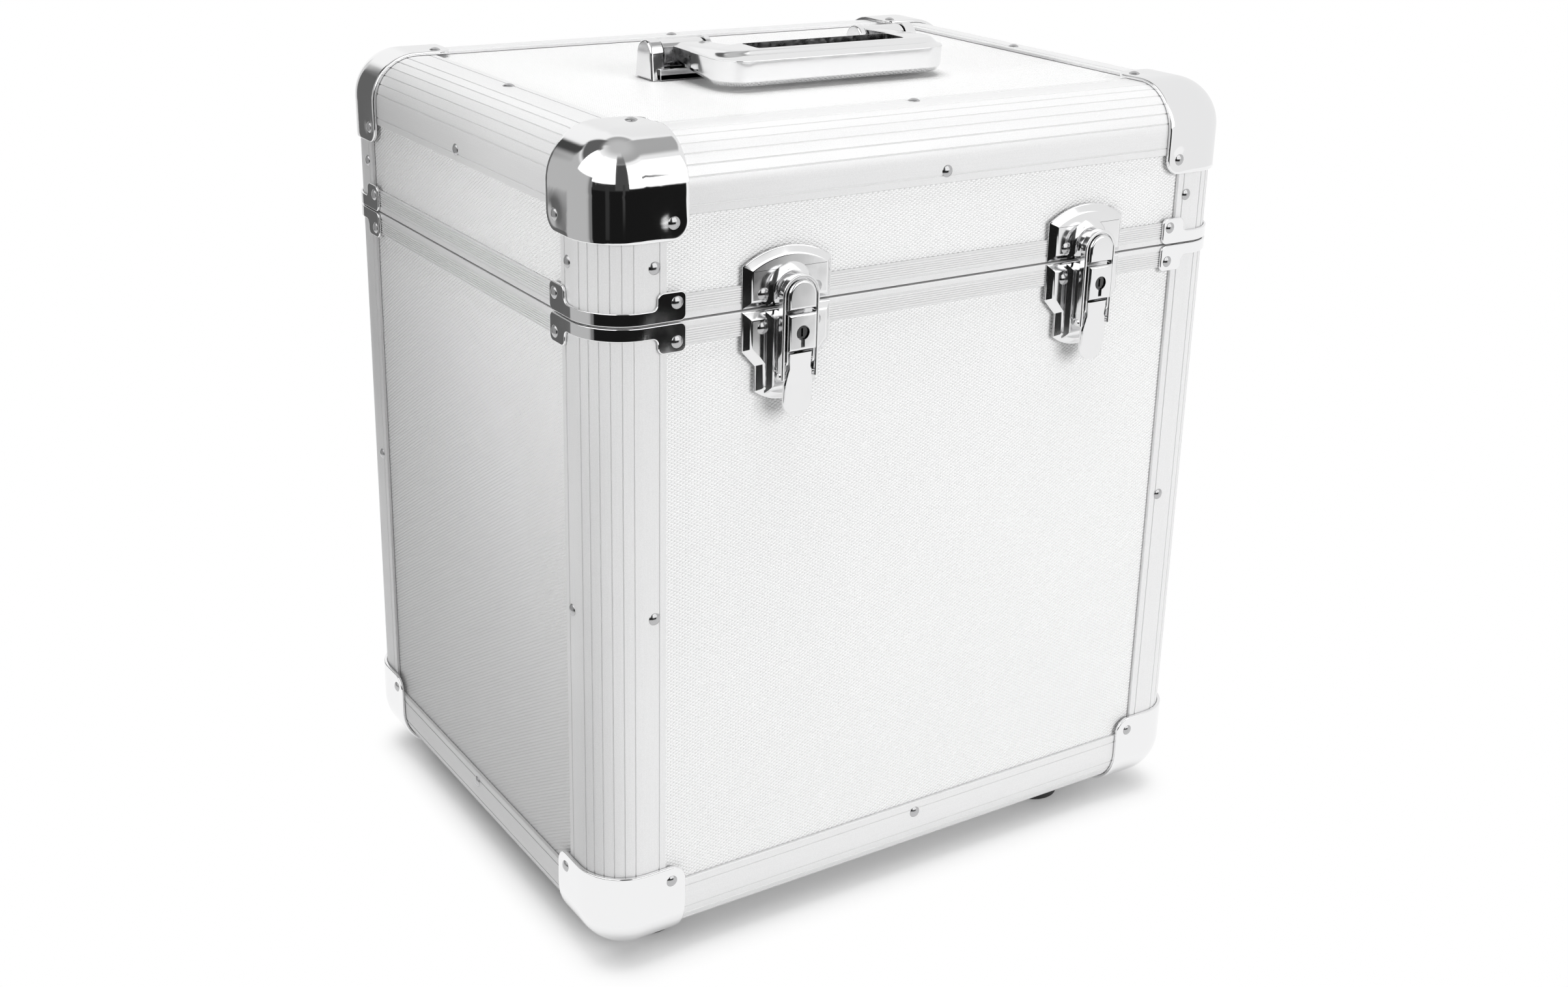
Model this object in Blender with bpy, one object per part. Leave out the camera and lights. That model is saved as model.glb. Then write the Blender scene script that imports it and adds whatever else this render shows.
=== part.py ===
"""Record carrying case: panelled box with a lift-back lid, ball corners, two key latches and a folding handle.

Metres, +Z up, latches towards -Y. The origin is the bottom centre of the whole box.
"""

import math

import bmesh
import bpy
from mathutils import Vector

# Overall shell, measured over the extrusions
CASE_WIDTH = 0.350
CASE_DEPTH = 0.276
BODY_HEIGHT = 0.303
LID_HEIGHT = 0.077
FOOT_HEIGHT = 0.009
FIT_GAP = 0.0003
SEAM_HALF_GAP = 0.0004

# Corner and edge extrusions
EDGE_RADIUS = 0.022
FLANGE_WIDTH = 0.0325
PROFILE_WALL = 0.0015
GROOVE_PLACE = 0.0288
GROOVE_HALF_WIDTH = 0.00045
GROOVE_DEPTH = 0.00045
GROOVE_ANGLES = (13.0, 25.8, 38.6, 51.4, 64.2, 77.0)
END_CLEARANCE = 0.0005

# Panels and foam lining
PANEL_THICKNESS = 0.004
PANEL_START = 0.0245
FOAM_THICKNESS = 0.0025
FOAM_CHAMFER = 0.006

# Rims either side of the split
RIM_HEIGHT = 0.011
RIM_FLAT = 0.003
RIM_RIBS = 6
RIM_RIB_DEPTH = 0.0003
RIM_WEB_HEIGHT = 0.006
RIM_WEB_DEPTH = 0.007
RIM_OVERLAP = 0.0004

# Braces across the corners at the split
BRACE_STANDOFF = 0.0019
BRACE_STRIP_HEIGHT = 0.0061
BRACE_TAB_START = 0.0275
BRACE_TAB_END = 0.0408
BRACE_TAB_HEIGHT = 0.0132
BRACE_CORNER = 0.0028

# Ball corners
BALL_REACH = 0.042
BALL_STANDOFF = 0.0019
BALL_LOBE_RADIUS = 0.007

# Rubber feet
FOOT_RADIUS = 0.0140
FOOT_BOTTOM_RADIUS = 0.0130
FOOT_ROUNDING = 0.0015
FOOT_LEFT_INSET = 0.041
FOOT_RIGHT_INSET = 0.068
FOOT_FACE_INSET = 0.034

# Draw latches
LATCH_INSET = 0.091
LATCH_HALF_WIDTH = 0.0225
LATCH_PLATE = 0.0030
LATCH_PLATE_BEVEL = 0.0009
LATCH_SEAM = 0.0007
STRIKE_SIDE = 0.0195
STRIKE_TOP = 0.0265
BASE_SHOULDER = 0.018
BASE_WAIST = 0.0255
BASE_LOWER_HALF = 0.0158
BASE_LOWER_SIDE = 0.037
BASE_BOTTOM = 0.0425
PAD_HALF_WIDTH = 0.0112
PAD_RISE = 0.0020
PAD_TOP = 0.0195
PAD_BEVEL = 0.0012
CAP_HALF_WIDTH = 0.0072
CAP_FRONT = 0.0136
CAP_BOTTOM = 0.0010
CAP_TOP = 0.0140
CAP_BEVEL = 0.0007
HOUSING_HALF_WIDTH = 0.00725
HOUSING_FRONT = 0.0140
HOUSING_BOTTOM = 0.0172
HOUSING_BEVEL = 0.0007
KEYHOLE_DROP = 0.0092
KEYHOLE_RADIUS = 0.0033
KEYHOLE_SLOT_HALF = 0.0010
KEYHOLE_SLOT_DROP = 0.0064
KEYHOLE_SLOT_DEPTH = 0.0020
CYLINDER_RADIUS = 0.0029
CYLINDER_SET_BACK = 0.0009
CYLINDER_LENGTH = 0.0040
CYLINDER_BLIND = 0.0004
KEY_SLOT_HALF = 0.0005
KEY_SLOT_REACH = 0.0019
KEY_SLOT_DEPTH = 0.0012

# Latch lever, its pivot, the bail pivot and the bail
LEVER_PIVOT_OUT = 0.0107
LEVER_PIVOT_DROP = 0.0220
BAIL_PIVOT_OUT = 0.0098
BAIL_PIVOT_DROP = 0.0285
PIN_RADIUS = 0.0011
PIN_CLEARANCE = 0.00025
LEVER_SHEET = 0.0014
LEVER_TOP_DROP = 0.0184
LEVER_TOP_OUT = 0.0132
LEVER_CREASE_DROP = 0.0328
LEVER_CREASE_OUT = 0.0118
LEVER_END_DROP = 0.0478
LEVER_END_OUT = 0.0124
LEVER_NECK_HALF = 0.0058
LEVER_NECK_DROP = 0.0255
LEVER_CREASE_HALF = 0.0074
LEVER_CHEEK_INNER = 0.0036
LEVER_CHEEK_OUTER = 0.0056
LEVER_KNUCKLE = 0.0020
EAR_INNER = 0.0062
EAR_OUTER = 0.0072
EAR_KNUCKLE = 0.0019
EAR_BOTTOM_DROP = 0.0255
BAIL_GAP = 0.0005
BAIL_THICKNESS = 0.0016
BAIL_BACK = 0.0086
BAIL_FRONT = 0.0124
BAIL_END = 0.0018
BAIL_BEVEL = 0.0004
BAIL_STUB_END = 0.0044

# Rear stop hinges
HINGE_INSET = 0.091
HINGE_HALF_WIDTH = 0.020
HINGE_AXIS_OUT = 0.0046
HINGE_KNUCKLE = 0.0032
HINGE_PIN = 0.0014
HINGE_LEAF = 0.0015
HINGE_LEAF_REACH = 0.028
HINGE_KNUCKLE_HALF = 0.0066
HINGE_LEAF_START = 0.0024
HINGE_LEAF_CORNER = 0.004

# Folding handle and its mounts, heights from the top panel
HANDLE_HALF_WIDTH = 0.0650
HANDLE_FRONT = 0.0550
HANDLE_CORNER = 0.0150
HANDLE_GRIP_WIDTH = 0.0270
HANDLE_ARM_INNER = 0.0475
HANDLE_GAP_HALF = 0.0425
HANDLE_BOTTOM = 0.0028
HANDLE_WALL_BOTTOM = 0.0051
HANDLE_CHAMFER = 0.0024
HANDLE_WALL_TOP = 0.0146
HANDLE_ARM_TOP = 0.0172
HANDLE_TOP = 0.0189
HANDLE_CROWN = 0.0090
HANDLE_ARM_UNDER = 0.0076
HANDLE_FAN = 0.0004
ARM_SHARES = (1.0, 0.6, 0.35)
CROWN_SHARES = (0.55, 0.72)
TROUGH_HALF_WIDTH = 0.0420
TROUGH_START = 0.0095
TROUGH_WIDTH = 0.0155
TROUGH_DEPTH = 0.0080
TROUGH_CORNER = 0.0020
MOUNT_PIVOT_HEIGHT = 0.0109
MOUNT_LUG_RADIUS = 0.0080
MOUNT_FRONT = 0.0160
MOUNT_BACK = 0.0145
MOUNT_BASE = 0.0030
MOUNT_LIP = 0.0055
MOUNT_LIP_WIDTH = 0.0030
MOUNT_STOP_START = 0.0085
MOUNT_STOP_HEIGHT = 0.0115
MOUNT_OUTER_FACE = 0.0765
MOUNT_OUTER_FLARE = 0.0022
MOUNT_OUTER_INNER = 0.0712
MOUNT_INNER_FACE = 0.0430
MOUNT_INNER_INNER = 0.0464
MOUNT_PIN_RADIUS = 0.0025
MOUNT_PIN_CLEARANCE = 0.0003
BARREL_RADIUS = 0.0072
BARREL_INNER = 0.0470
BARREL_OUTER = 0.0706

# Derived planes
FRONT_Y = (HOUSING_FRONT - HINGE_AXIS_OUT - HINGE_KNUCKLE - CASE_DEPTH) / 2
BACK_Y = FRONT_Y + CASE_DEPTH
HALF_WIDTH = CASE_WIDTH / 2
BOTTOM_Z = FOOT_HEIGHT
SPLIT_Z = FOOT_HEIGHT + BODY_HEIGHT
TOP_Z = SPLIT_Z + LID_HEIGHT
LATCH_OFFSET = HALF_WIDTH - LATCH_INSET
HINGE_OFFSET = HALF_WIDTH - HINGE_INSET
PANEL_INSET = PROFILE_WALL + FIT_GAP
FOAM_INSET = PANEL_INSET + PANEL_THICKNESS + FIT_GAP
PANEL_TOP_Z = TOP_Z - PANEL_INSET
HANDLE_Y = (FRONT_Y + BACK_Y) / 2
HANDLE_PIVOT_Z = PANEL_TOP_Z + MOUNT_PIVOT_HEIGHT
SMALL_SEGMENTS = 4
ROUND_SEGMENTS = 12
CORNER_SEGMENTS = 5


def clear_scene():
    """Remove everything that the start-up scene holds."""
    for old in list(bpy.data.objects):
        bpy.data.objects.remove(old, do_unlink=True)


def finish_of(name, color, metallic, roughness):
    """Make one Principled material."""
    material = bpy.data.materials.new(name)
    material.use_nodes = True
    shader = material.node_tree.nodes["Principled BSDF"]
    shader.inputs["Base Color"].default_value = (*color, 1.0)
    shader.inputs["Metallic"].default_value = metallic
    shader.inputs["Roughness"].default_value = roughness
    material.diffuse_color = (*color, 1.0)
    return material


def add_object(name, mesh, finish, smooth_degrees=32.0):
    """Put a closed mesh in the scene as one named piece."""
    shape = bmesh.new()
    shape.from_mesh(mesh)
    bmesh.ops.recalc_face_normals(shape, faces=shape.faces)
    shape.to_mesh(mesh)
    shape.free()
    piece = bpy.data.objects.new(name, mesh)
    bpy.context.scene.collection.objects.link(piece)
    mesh.shade_smooth()
    mesh.set_sharp_from_angle(angle=math.radians(smooth_degrees))
    if finish is not None:
        mesh.materials.clear()
        mesh.materials.append(finish)
    return piece


def mesh_from(points, faces):
    """Build a mesh from points and index lists."""
    mesh = bpy.data.meshes.new("shape")
    mesh.from_pydata([tuple(point) for point in points], [], faces)
    mesh.update()
    return mesh


def prism(outline, place, start, end):
    """Extrude a closed outline; place turns (u, v, w) into a point."""
    count = len(outline)
    points = [place(u, v, start) for u, v in outline]
    points += [place(u, v, end) for u, v in outline]
    faces = [list(range(count)), list(range(2 * count - 1, count - 1, -1))]
    for index in range(count):
        after = (index + 1) % count
        faces.append([index, index + count, after + count, after])
    return mesh_from(points, faces)


def loft(rings):
    """Join rings of equal length into a closed skin with flat ends."""
    count = len(rings[0])
    points = [point for ring in rings for point in ring]
    last = (len(rings) - 1) * count
    faces = [list(range(count)), list(range(last + count - 1, last - 1, -1))]
    for level in range(len(rings) - 1):
        for index in range(count):
            after = (index + 1) % count
            low = level * count
            faces.append([low + index, low + index + count, low + after + count, low + after])
    return mesh_from(points, faces)


def box_mesh(low, high):
    """Make a box between two corners."""
    outline = [(low[0], low[1]), (high[0], low[1]), (high[0], high[1]), (low[0], high[1])]
    return prism(outline, lambda u, v, w: (u, v, w), low[2], high[2])


def arc(center_u, center_v, radius, first, last, steps):
    """List points on an arc, angles in degrees."""
    points = []
    for step in range(steps + 1):
        angle = math.radians(first + (last - first) * step / steps)
        points.append((center_u + radius * math.cos(angle), center_v + radius * math.sin(angle)))
    return points


def circle(center_u, center_v, radius, sides=ROUND_SEGMENTS):
    """List the corners of a round outline."""
    return arc(center_u, center_v, radius, 0.0, 360.0 - 360.0 / sides, sides - 1)


def rounded_rectangle(half_u, half_v, radius, steps=CORNER_SEGMENTS):
    """Outline of a rectangle about the origin with round corners."""
    points = []
    corners = ((1, 1, 0.0), (-1, 1, 90.0), (-1, -1, 180.0), (1, -1, 270.0))
    for side_u, side_v, first in corners:
        center_u = side_u * (half_u - radius)
        center_v = side_v * (half_v - radius)
        points += arc(center_u, center_v, radius, first, first + 90.0, steps)
    return points


def along_x(u, v, w):
    """Place an outline drawn in Y and Z, extruded along X."""
    return (w, u, v)


def along_y(u, v, w):
    """Place an outline drawn in X and Z, extruded along Y."""
    return (u, w, v)


def along_z(u, v, w):
    """Place an outline drawn in X and Y, extruded along Z."""
    return (u, v, w)


def combined(base, operation, tools):
    """Apply Booleans to a mesh and return the result as a new mesh."""
    body = bpy.data.objects.new("body", base)
    bpy.context.scene.collection.objects.link(body)
    helpers = []
    for number, tool in enumerate(tools):
        helper = add_object("helper_%d" % number, tool, None)
        helper.hide_render = True
        helper.display_type = "WIRE"
        helpers.append(helper)
        modifier = body.modifiers.new("step_%d" % number, "BOOLEAN")
        modifier.operation = operation
        modifier.solver = "EXACT"
        modifier.object = helper
    shape = bmesh.new()
    shape.from_mesh(base)
    bmesh.ops.recalc_face_normals(shape, faces=shape.faces)
    shape.to_mesh(base)
    shape.free()
    bpy.context.view_layer.update()
    graph = bpy.context.evaluated_depsgraph_get()
    result = bpy.data.meshes.new_from_object(body.evaluated_get(graph))
    for used in [body] + helpers:
        bpy.data.objects.remove(used, do_unlink=True)
    return result


def bevelled(mesh, width, degrees=50.0, segments=1, keep=None):
    """Chamfer or round the sharp edges that keep accepts."""
    shape = bmesh.new()
    shape.from_mesh(mesh)
    bmesh.ops.recalc_face_normals(shape, faces=shape.faces)
    limit = math.radians(degrees)
    edges = []
    for edge in shape.edges:
        if len(edge.link_faces) == 2 and edge.calc_face_angle() > limit:
            if keep is None or keep(edge.verts[0].co, edge.verts[1].co):
                edges.append(edge)
    bmesh.ops.bevel(
        shape,
        geom=edges,
        offset=width,
        segments=segments,
        profile=0.5,
        affect="EDGES",
        clamp_overlap=True,
    )
    shape.to_mesh(mesh)
    shape.free()
    return mesh


def hull_mesh(points):
    """Wrap points in their convex skin."""
    shape = bmesh.new()
    for point in points:
        shape.verts.new(point)
    found = bmesh.ops.convex_hull(shape, input=shape.verts)
    loose = [item for item in found["geom_interior"] if isinstance(item, bmesh.types.BMVert)]
    bmesh.ops.delete(shape, geom=list(set(loose)), context="VERTS")
    flat = math.radians(0.5)
    bmesh.ops.dissolve_limit(shape, angle_limit=flat, verts=shape.verts, edges=shape.edges)
    mesh = bpy.data.meshes.new("shape")
    shape.to_mesh(mesh)
    shape.free()
    return mesh


def mirrored(mesh, side_x, side_y, side_z, center):
    """Copy a mesh drawn from a corner into the octant given by three signs."""
    copy = mesh.copy()
    for vertex in copy.vertices:
        local = vertex.co
        moved = (
            center[0] - side_x * local.x,
            center[1] - side_y * local.y,
            center[2] - side_z * local.z,
        )
        vertex.co = moved
    return copy


def corner_point(side_x, side_y, side_z):
    """Give the sharp corner of the shell on the named sides."""
    return Vector(
        (
            side_x * HALF_WIDTH,
            BACK_Y if side_y > 0 else FRONT_Y,
            TOP_Z if side_z > 0 else BOTTOM_Z,
        )
    )


def extrusion_outline():
    """Section of the grooved corner extrusion, u and v inward from its two faces."""
    reach = EDGE_RADIUS
    side = [
        (FLANGE_WIDTH, 0),
        (GROOVE_PLACE + GROOVE_HALF_WIDTH, 0),
        (GROOVE_PLACE, GROOVE_DEPTH),
        (GROOVE_PLACE - GROOVE_HALF_WIDTH, 0),
        (reach, 0),
    ]
    points = list(side)
    half = math.degrees(GROOVE_HALF_WIDTH / reach)
    for angle in GROOVE_ANGLES:
        for turn, radius in ((-half, reach), (0, reach - GROOVE_DEPTH), (half, reach)):
            spot = math.radians(angle + turn)
            points.append((reach - radius * math.sin(spot), reach - radius * math.cos(spot)))
    points += [(v, u) for u, v in reversed(side)]
    inner = reach - PROFILE_WALL
    points.append((PROFILE_WALL, FLANGE_WIDTH))
    points += arc(reach, reach, inner, 180.0, 270.0, CORNER_SEGMENTS)
    points.append((FLANGE_WIDTH, PROFILE_WALL))
    return points


def add_posts(finish):
    """Four corner posts for the body and four for the lid."""
    outline = extrusion_outline()
    spans = {
        "body": (BOTTOM_Z + FLANGE_WIDTH + END_CLEARANCE, SPLIT_Z - SEAM_HALF_GAP),
        "lid": (SPLIT_Z + SEAM_HALF_GAP, TOP_Z - FLANGE_WIDTH - END_CLEARANCE),
    }
    for part, (low, high) in spans.items():
        for side_x, side_y, place_name in CORNER_NAMES:
            corner = corner_point(side_x, side_y, 1)

            def place(u, v, w, corner=corner, side_x=side_x, side_y=side_y):
                return (corner.x - side_x * u, corner.y - side_y * v, w)

            mesh = prism(outline, place, low, high)
            add_object("%s_post_%s" % (part, place_name), mesh, finish)


def add_edges(finish):
    """Edge extrusions round the bottom and round the top."""
    outline = extrusion_outline()
    reach = FLANGE_WIDTH + END_CLEARANCE
    for side_z, level in ((-1, "bottom"), (1, "top")):
        face_z = TOP_Z if side_z > 0 else BOTTOM_Z
        for side_y, name in ((-1, "front"), (1, "back")):
            face_y = BACK_Y if side_y > 0 else FRONT_Y

            def across(u, v, w, face_y=face_y, face_z=face_z, side_y=side_y, side_z=side_z):
                return (w, face_y - side_y * u, face_z - side_z * v)

            mesh = prism(outline, across, reach - HALF_WIDTH, HALF_WIDTH - reach)
            add_object("%s_edge_%s" % (level, name), mesh, finish)
        for side_x, name in ((-1, "left"), (1, "right")):
            face_x = side_x * HALF_WIDTH

            def deep(u, v, w, face_x=face_x, face_z=face_z, side_x=side_x, side_z=side_z):
                return (face_x - side_x * u, w, face_z - side_z * v)

            mesh = prism(outline, deep, FRONT_Y + reach, BACK_Y - reach)
            add_object("%s_edge_%s" % (level, name), mesh, finish)


def add_panels(finish):
    """Ten flat panels held behind the extrusion flanges."""
    inner = PANEL_INSET + PANEL_THICKNESS
    wide = HALF_WIDTH - PANEL_START
    low_y = FRONT_Y + PANEL_START
    high_y = BACK_Y - PANEL_START
    web = RIM_WEB_HEIGHT + SEAM_HALF_GAP + FIT_GAP
    spans = {
        "body": (BOTTOM_Z + PANEL_START, SPLIT_Z - web),
        "lid": (SPLIT_Z + web, TOP_Z - PANEL_START),
    }
    left = -HALF_WIDTH
    for part, (low, high) in spans.items():
        sides = {
            "front": ((-wide, FRONT_Y + PANEL_INSET, low), (wide, FRONT_Y + inner, high)),
            "back": ((-wide, BACK_Y - inner, low), (wide, BACK_Y - PANEL_INSET, high)),
            "left": ((left + PANEL_INSET, low_y, low), (left + inner, high_y, high)),
            "right": ((-left - inner, low_y, low), (-left - PANEL_INSET, high_y, high)),
        }
        for name, (first, second) in sides.items():
            add_object("%s_panel_%s" % (part, name), box_mesh(first, second), finish)
    floor = box_mesh((-wide, low_y, BOTTOM_Z + PANEL_INSET), (wide, high_y, BOTTOM_Z + inner))
    add_object("bottom_panel", floor, finish)
    roof = box_mesh((-wide, low_y, TOP_Z - inner), (wide, high_y, TOP_Z - PANEL_INSET))
    add_object("top_panel", roof, finish)


def foam_ring(inset, radius, height):
    """One level of the lining, a round-cornered ring of points."""
    outline = rounded_rectangle(HALF_WIDTH - inset, CASE_DEPTH / 2 - inset, radius)
    return [(u, v + HANDLE_Y, height) for u, v in outline]


def add_linings(finish):
    """Foam tubs inside the body and the lid."""
    radius = EDGE_RADIUS - FOAM_INSET
    thin = FOAM_THICKNESS
    chamfer = FOAM_CHAMFER
    mouth = RIM_WEB_HEIGHT + SEAM_HALF_GAP + FIT_GAP
    for part, base, sign, rim in (
        ("body", BOTTOM_Z, 1, SPLIT_Z - mouth),
        ("lid", TOP_Z, -1, SPLIT_Z + mouth),
    ):
        start = base + sign * FOAM_INSET
        knee = start + sign * chamfer
        rings = [
            foam_ring(FOAM_INSET + chamfer, radius - chamfer / 2, start),
            foam_ring(FOAM_INSET, radius, knee),
            foam_ring(FOAM_INSET, radius, rim),
            foam_ring(FOAM_INSET + thin, radius - thin, rim),
            foam_ring(FOAM_INSET + thin, radius - thin, knee + sign * thin / 2),
            foam_ring(FOAM_INSET + chamfer + thin / 2, radius - chamfer / 2 - thin, start + sign * thin),
        ]
        add_object("%s_lining" % part, loft(rings), finish)


def rim_section():
    """Outer bar of a rim: inset from the face, then height away from the split."""
    count = RIM_RIBS
    pitch = (RIM_HEIGHT - 2 * RIM_FLAT) / count
    points = [(0, SEAM_HALF_GAP), (0, RIM_FLAT)]
    for index in range(count):
        low = RIM_FLAT + pitch * index
        points.append((RIM_RIB_DEPTH, low + pitch / 2))
        points.append((0, low + pitch))
    overlap = PROFILE_WALL + FIT_GAP + RIM_OVERLAP
    points += [
        (0, RIM_HEIGHT),
        (PROFILE_WALL, RIM_HEIGHT),
        (PROFILE_WALL, RIM_WEB_HEIGHT + SEAM_HALF_GAP),
        (overlap, RIM_WEB_HEIGHT),
        (overlap, SEAM_HALF_GAP),
    ]
    clean = [points[0]]
    for point in points[1:]:
        if (Vector(point) - Vector(clean[-1])).length > GROOVE_DEPTH / 10:
            clean.append(point)
    return clean


def brace_outline():
    """Plan of a corner brace, u and v inward from the shell's two faces."""
    near = EDGE_RADIUS
    outer = BRACE_STANDOFF
    inner = FIT_GAP
    end = BRACE_TAB_END
    bar = FLANGE_WIDTH + END_CLEARANCE + END_CLEARANCE
    points = [(end, -outer), (near, -outer)]
    points += arc(near, near, near + outer, 270.0, 180.0, 2 * CORNER_SEGMENTS)
    points += [(-outer, end), (RIM_OVERLAP, end), (RIM_OVERLAP, bar), (-inner, bar), (-inner, near)]
    points += arc(near, near, near + inner, 180.0, 270.0, 2 * CORNER_SEGMENTS)
    points += [(near, -inner), (bar, -inner), (bar, RIM_OVERLAP), (end, RIM_OVERLAP)]
    clean = []
    for point in points:
        if not clean or (Vector(point) - Vector(clean[-1])).length > GROOVE_DEPTH / 10:
            clean.append(point)
    return clean


def brace_cutter_outline():
    """Side view of what is cut away between a brace's two tabs and beyond its corners."""
    start = BRACE_TAB_START
    strip = BRACE_STRIP_HEIGHT
    top = BRACE_TAB_HEIGHT
    turn = BRACE_CORNER
    far = -BRACE_TAB_END
    points = [(far, top + turn), (far, strip), (start - turn, strip)]
    points += arc(start - turn, strip + turn, turn, 270.0, 360.0, SMALL_SEGMENTS)[1:]
    points += arc(start + turn, top - turn, turn, 180.0, 90.0, SMALL_SEGMENTS)
    points.append((start + turn, top + turn))
    return points


def tab_corner_outline(level):
    """Side view of the waste outside the rounded end of a brace tab."""
    end = BRACE_TAB_END
    turn = BRACE_CORNER
    top = BRACE_TAB_HEIGHT
    if level == "far":
        points = arc(end - turn, top - turn, turn, 0.0, 90.0, SMALL_SEGMENTS)
        return points + [(end - turn, top + turn), (end + turn, top + turn), (end + turn, top - turn)]
    low = SEAM_HALF_GAP
    points = arc(end - turn, low + turn, turn, 270.0, 360.0, SMALL_SEGMENTS)
    return points + [(end + turn, low + turn), (end + turn, low - turn), (end - turn, low - turn)]


def brace_mesh():
    """One brace in corner coordinates, height measured from the split."""
    body = prism(brace_outline(), along_z, SEAM_HALF_GAP, BRACE_TAB_HEIGHT)
    reach = BRACE_TAB_END
    standoff = BRACE_STANDOFF + BRACE_CORNER
    tools = []
    for outline in (brace_cutter_outline(), tab_corner_outline("far"), tab_corner_outline("near")):
        limit = BRACE_TAB_START if outline[0][0] < 0 else reach / 2
        tools.append(prism(outline, along_y, -standoff, limit / 2))
        tools.append(prism(outline, along_x, -standoff, limit / 2))
    return combined(body, "DIFFERENCE", tools)


def add_rims(finish):
    """Body and lid rims, each one ring with its four corner braces."""
    bar_reach = FLANGE_WIDTH + END_CLEARANCE
    section = rim_section()
    brace = brace_mesh()
    for part, sign in (("body", -1), ("lid", 1)):
        near = SPLIT_Z + sign * SEAM_HALF_GAP
        far = SPLIT_Z + sign * (RIM_WEB_HEIGHT + SEAM_HALF_GAP)
        half_w = HALF_WIDTH - PANEL_INSET
        half_d = CASE_DEPTH / 2 - PANEL_INSET
        inset = RIM_WEB_DEPTH - PANEL_INSET
        radius = EDGE_RADIUS - PANEL_INSET
        outer = rounded_rectangle(half_w, half_d, radius)
        inner = rounded_rectangle(half_w - inset, half_d - inset, radius - inset)
        rings = []
        for outline, height in ((outer, near), (outer, far), (inner, far), (inner, near)):
            rings.append([(u, v + HANDLE_Y, height) for u, v in outline])
        web = closed_ring(rings)
        tools = []
        for side, face_y in ((-1, FRONT_Y), (1, BACK_Y)):

            def across(u, v, w, side=side, face_y=face_y, sign=sign):
                return (w, face_y - side * u, SPLIT_Z + sign * v)

            tools.append(prism(section, across, bar_reach - HALF_WIDTH, HALF_WIDTH - bar_reach))

            def deep(u, v, w, side=side, sign=sign):
                return (side * (HALF_WIDTH - u), w, SPLIT_Z + sign * v)

            tools.append(prism(section, deep, FRONT_Y + bar_reach, BACK_Y - bar_reach))
        for side_x, side_y, _ in CORNER_NAMES:
            corner = corner_point(side_x, side_y, 1)
            center = Vector((corner.x, corner.y, SPLIT_Z))
            tools.append(mirrored(brace, side_x, side_y, -sign, center))
        add_object("%s_rim" % part, combined(web, "UNION", tools), finish)


def closed_ring(rings):
    """Join rings of points end to start, as a tube that closes on itself."""
    count = len(rings[0])
    levels = len(rings)
    points = [point for ring in rings for point in ring]
    faces = []
    for level in range(levels):
        low = level * count
        high = ((level + 1) % levels) * count
        for index in range(count):
            after = (index + 1) % count
            faces.append([low + index, high + index, high + after, low + after])
    return mesh_from(points, faces)


def ball_solid(standoff, reach):
    """Rounded corner block in corner coordinates."""
    radius = EDGE_RADIUS + standoff
    center = EDGE_RADIUS
    steps = CORNER_SEGMENTS
    points = []
    for row in range(steps + 1):
        tilt = math.radians(90.0 * row / steps)
        for column in range(steps + 1):
            turn = math.radians(90.0 * column / steps)
            points.append(
                (
                    center - radius * math.cos(tilt) * math.cos(turn),
                    center - radius * math.cos(tilt) * math.sin(turn),
                    center - radius * math.sin(tilt),
                )
            )
    for first, second in arc(center, center, radius, 180.0, 270.0, steps):
        points += [(reach, first, second), (first, reach, second), (first, second, reach)]
    flat = center - radius
    points += [(reach, reach, flat), (reach, flat, reach), (flat, reach, reach)]
    points.append((reach, reach, reach))
    return hull_mesh(points)


def ball_mesh():
    """Thin three-lobed corner shell in corner coordinates."""
    reach = BALL_REACH
    turn = BALL_LOBE_RADIUS
    shell = ball_solid(BALL_STANDOFF, reach)
    core = ball_solid(FIT_GAP, reach + turn)
    waste = arc(reach - turn, reach - turn, turn, 0.0, 90.0, CORNER_SEGMENTS)
    waste += [(reach - turn, reach + turn), (reach + turn, reach + turn), (reach + turn, reach - turn)]
    tools = [core]
    for place in (along_x, along_y, along_z):
        tools.append(prism(waste, place, -BALL_STANDOFF - turn, turn))
    return combined(shell, "DIFFERENCE", tools)


def add_ball_corners(finish):
    """Eight ball corners."""
    ball = ball_mesh()
    for side_z, part in ((-1, "bottom"), (1, "top")):
        for side_x, side_y, place_name in CORNER_NAMES:
            center = corner_point(side_x, side_y, side_z)
            mesh = mirrored(ball, side_x, side_y, side_z, center)
            add_object("%s_corner_%s" % (part, place_name), mesh, finish)


def add_feet(finish):
    """Four rubber feet, the left pair standing on the ball corners."""
    for side_x, side_y, place_name in CORNER_NAMES:
        inset = FOOT_LEFT_INSET if side_x < 0 else FOOT_RIGHT_INSET
        x = side_x * (HALF_WIDTH - inset)
        y = (BACK_Y - FOOT_FACE_INSET) if side_y > 0 else (FRONT_Y + FOOT_FACE_INSET)
        seat = BALL_STANDOFF + FIT_GAP if side_x < 0 else FIT_GAP
        top = BOTTOM_Z - seat
        rings = []
        for radius, height in (
            (FOOT_BOTTOM_RADIUS - FOOT_ROUNDING, 0),
            (FOOT_BOTTOM_RADIUS, FOOT_ROUNDING),
            (FOOT_RADIUS, top),
        ):
            rings.append([(u, v, height) for u, v in circle(x, y, radius, 2 * ROUND_SEGMENTS)])
        add_object("foot_%s" % place_name, loft(rings), finish)


def front_place(center):
    """Place an outline on the front: u across, v up from the split, w out of the case."""

    def place(u, v, w):
        return (center + u, FRONT_Y - w, SPLIT_Z + v)

    return place


def side_place(center):
    """Place an outline seen from the side: u out of the case, v up, w across."""

    def place(u, v, w):
        return (center + w, FRONT_Y - u, SPLIT_Z + v)

    return place


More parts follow.
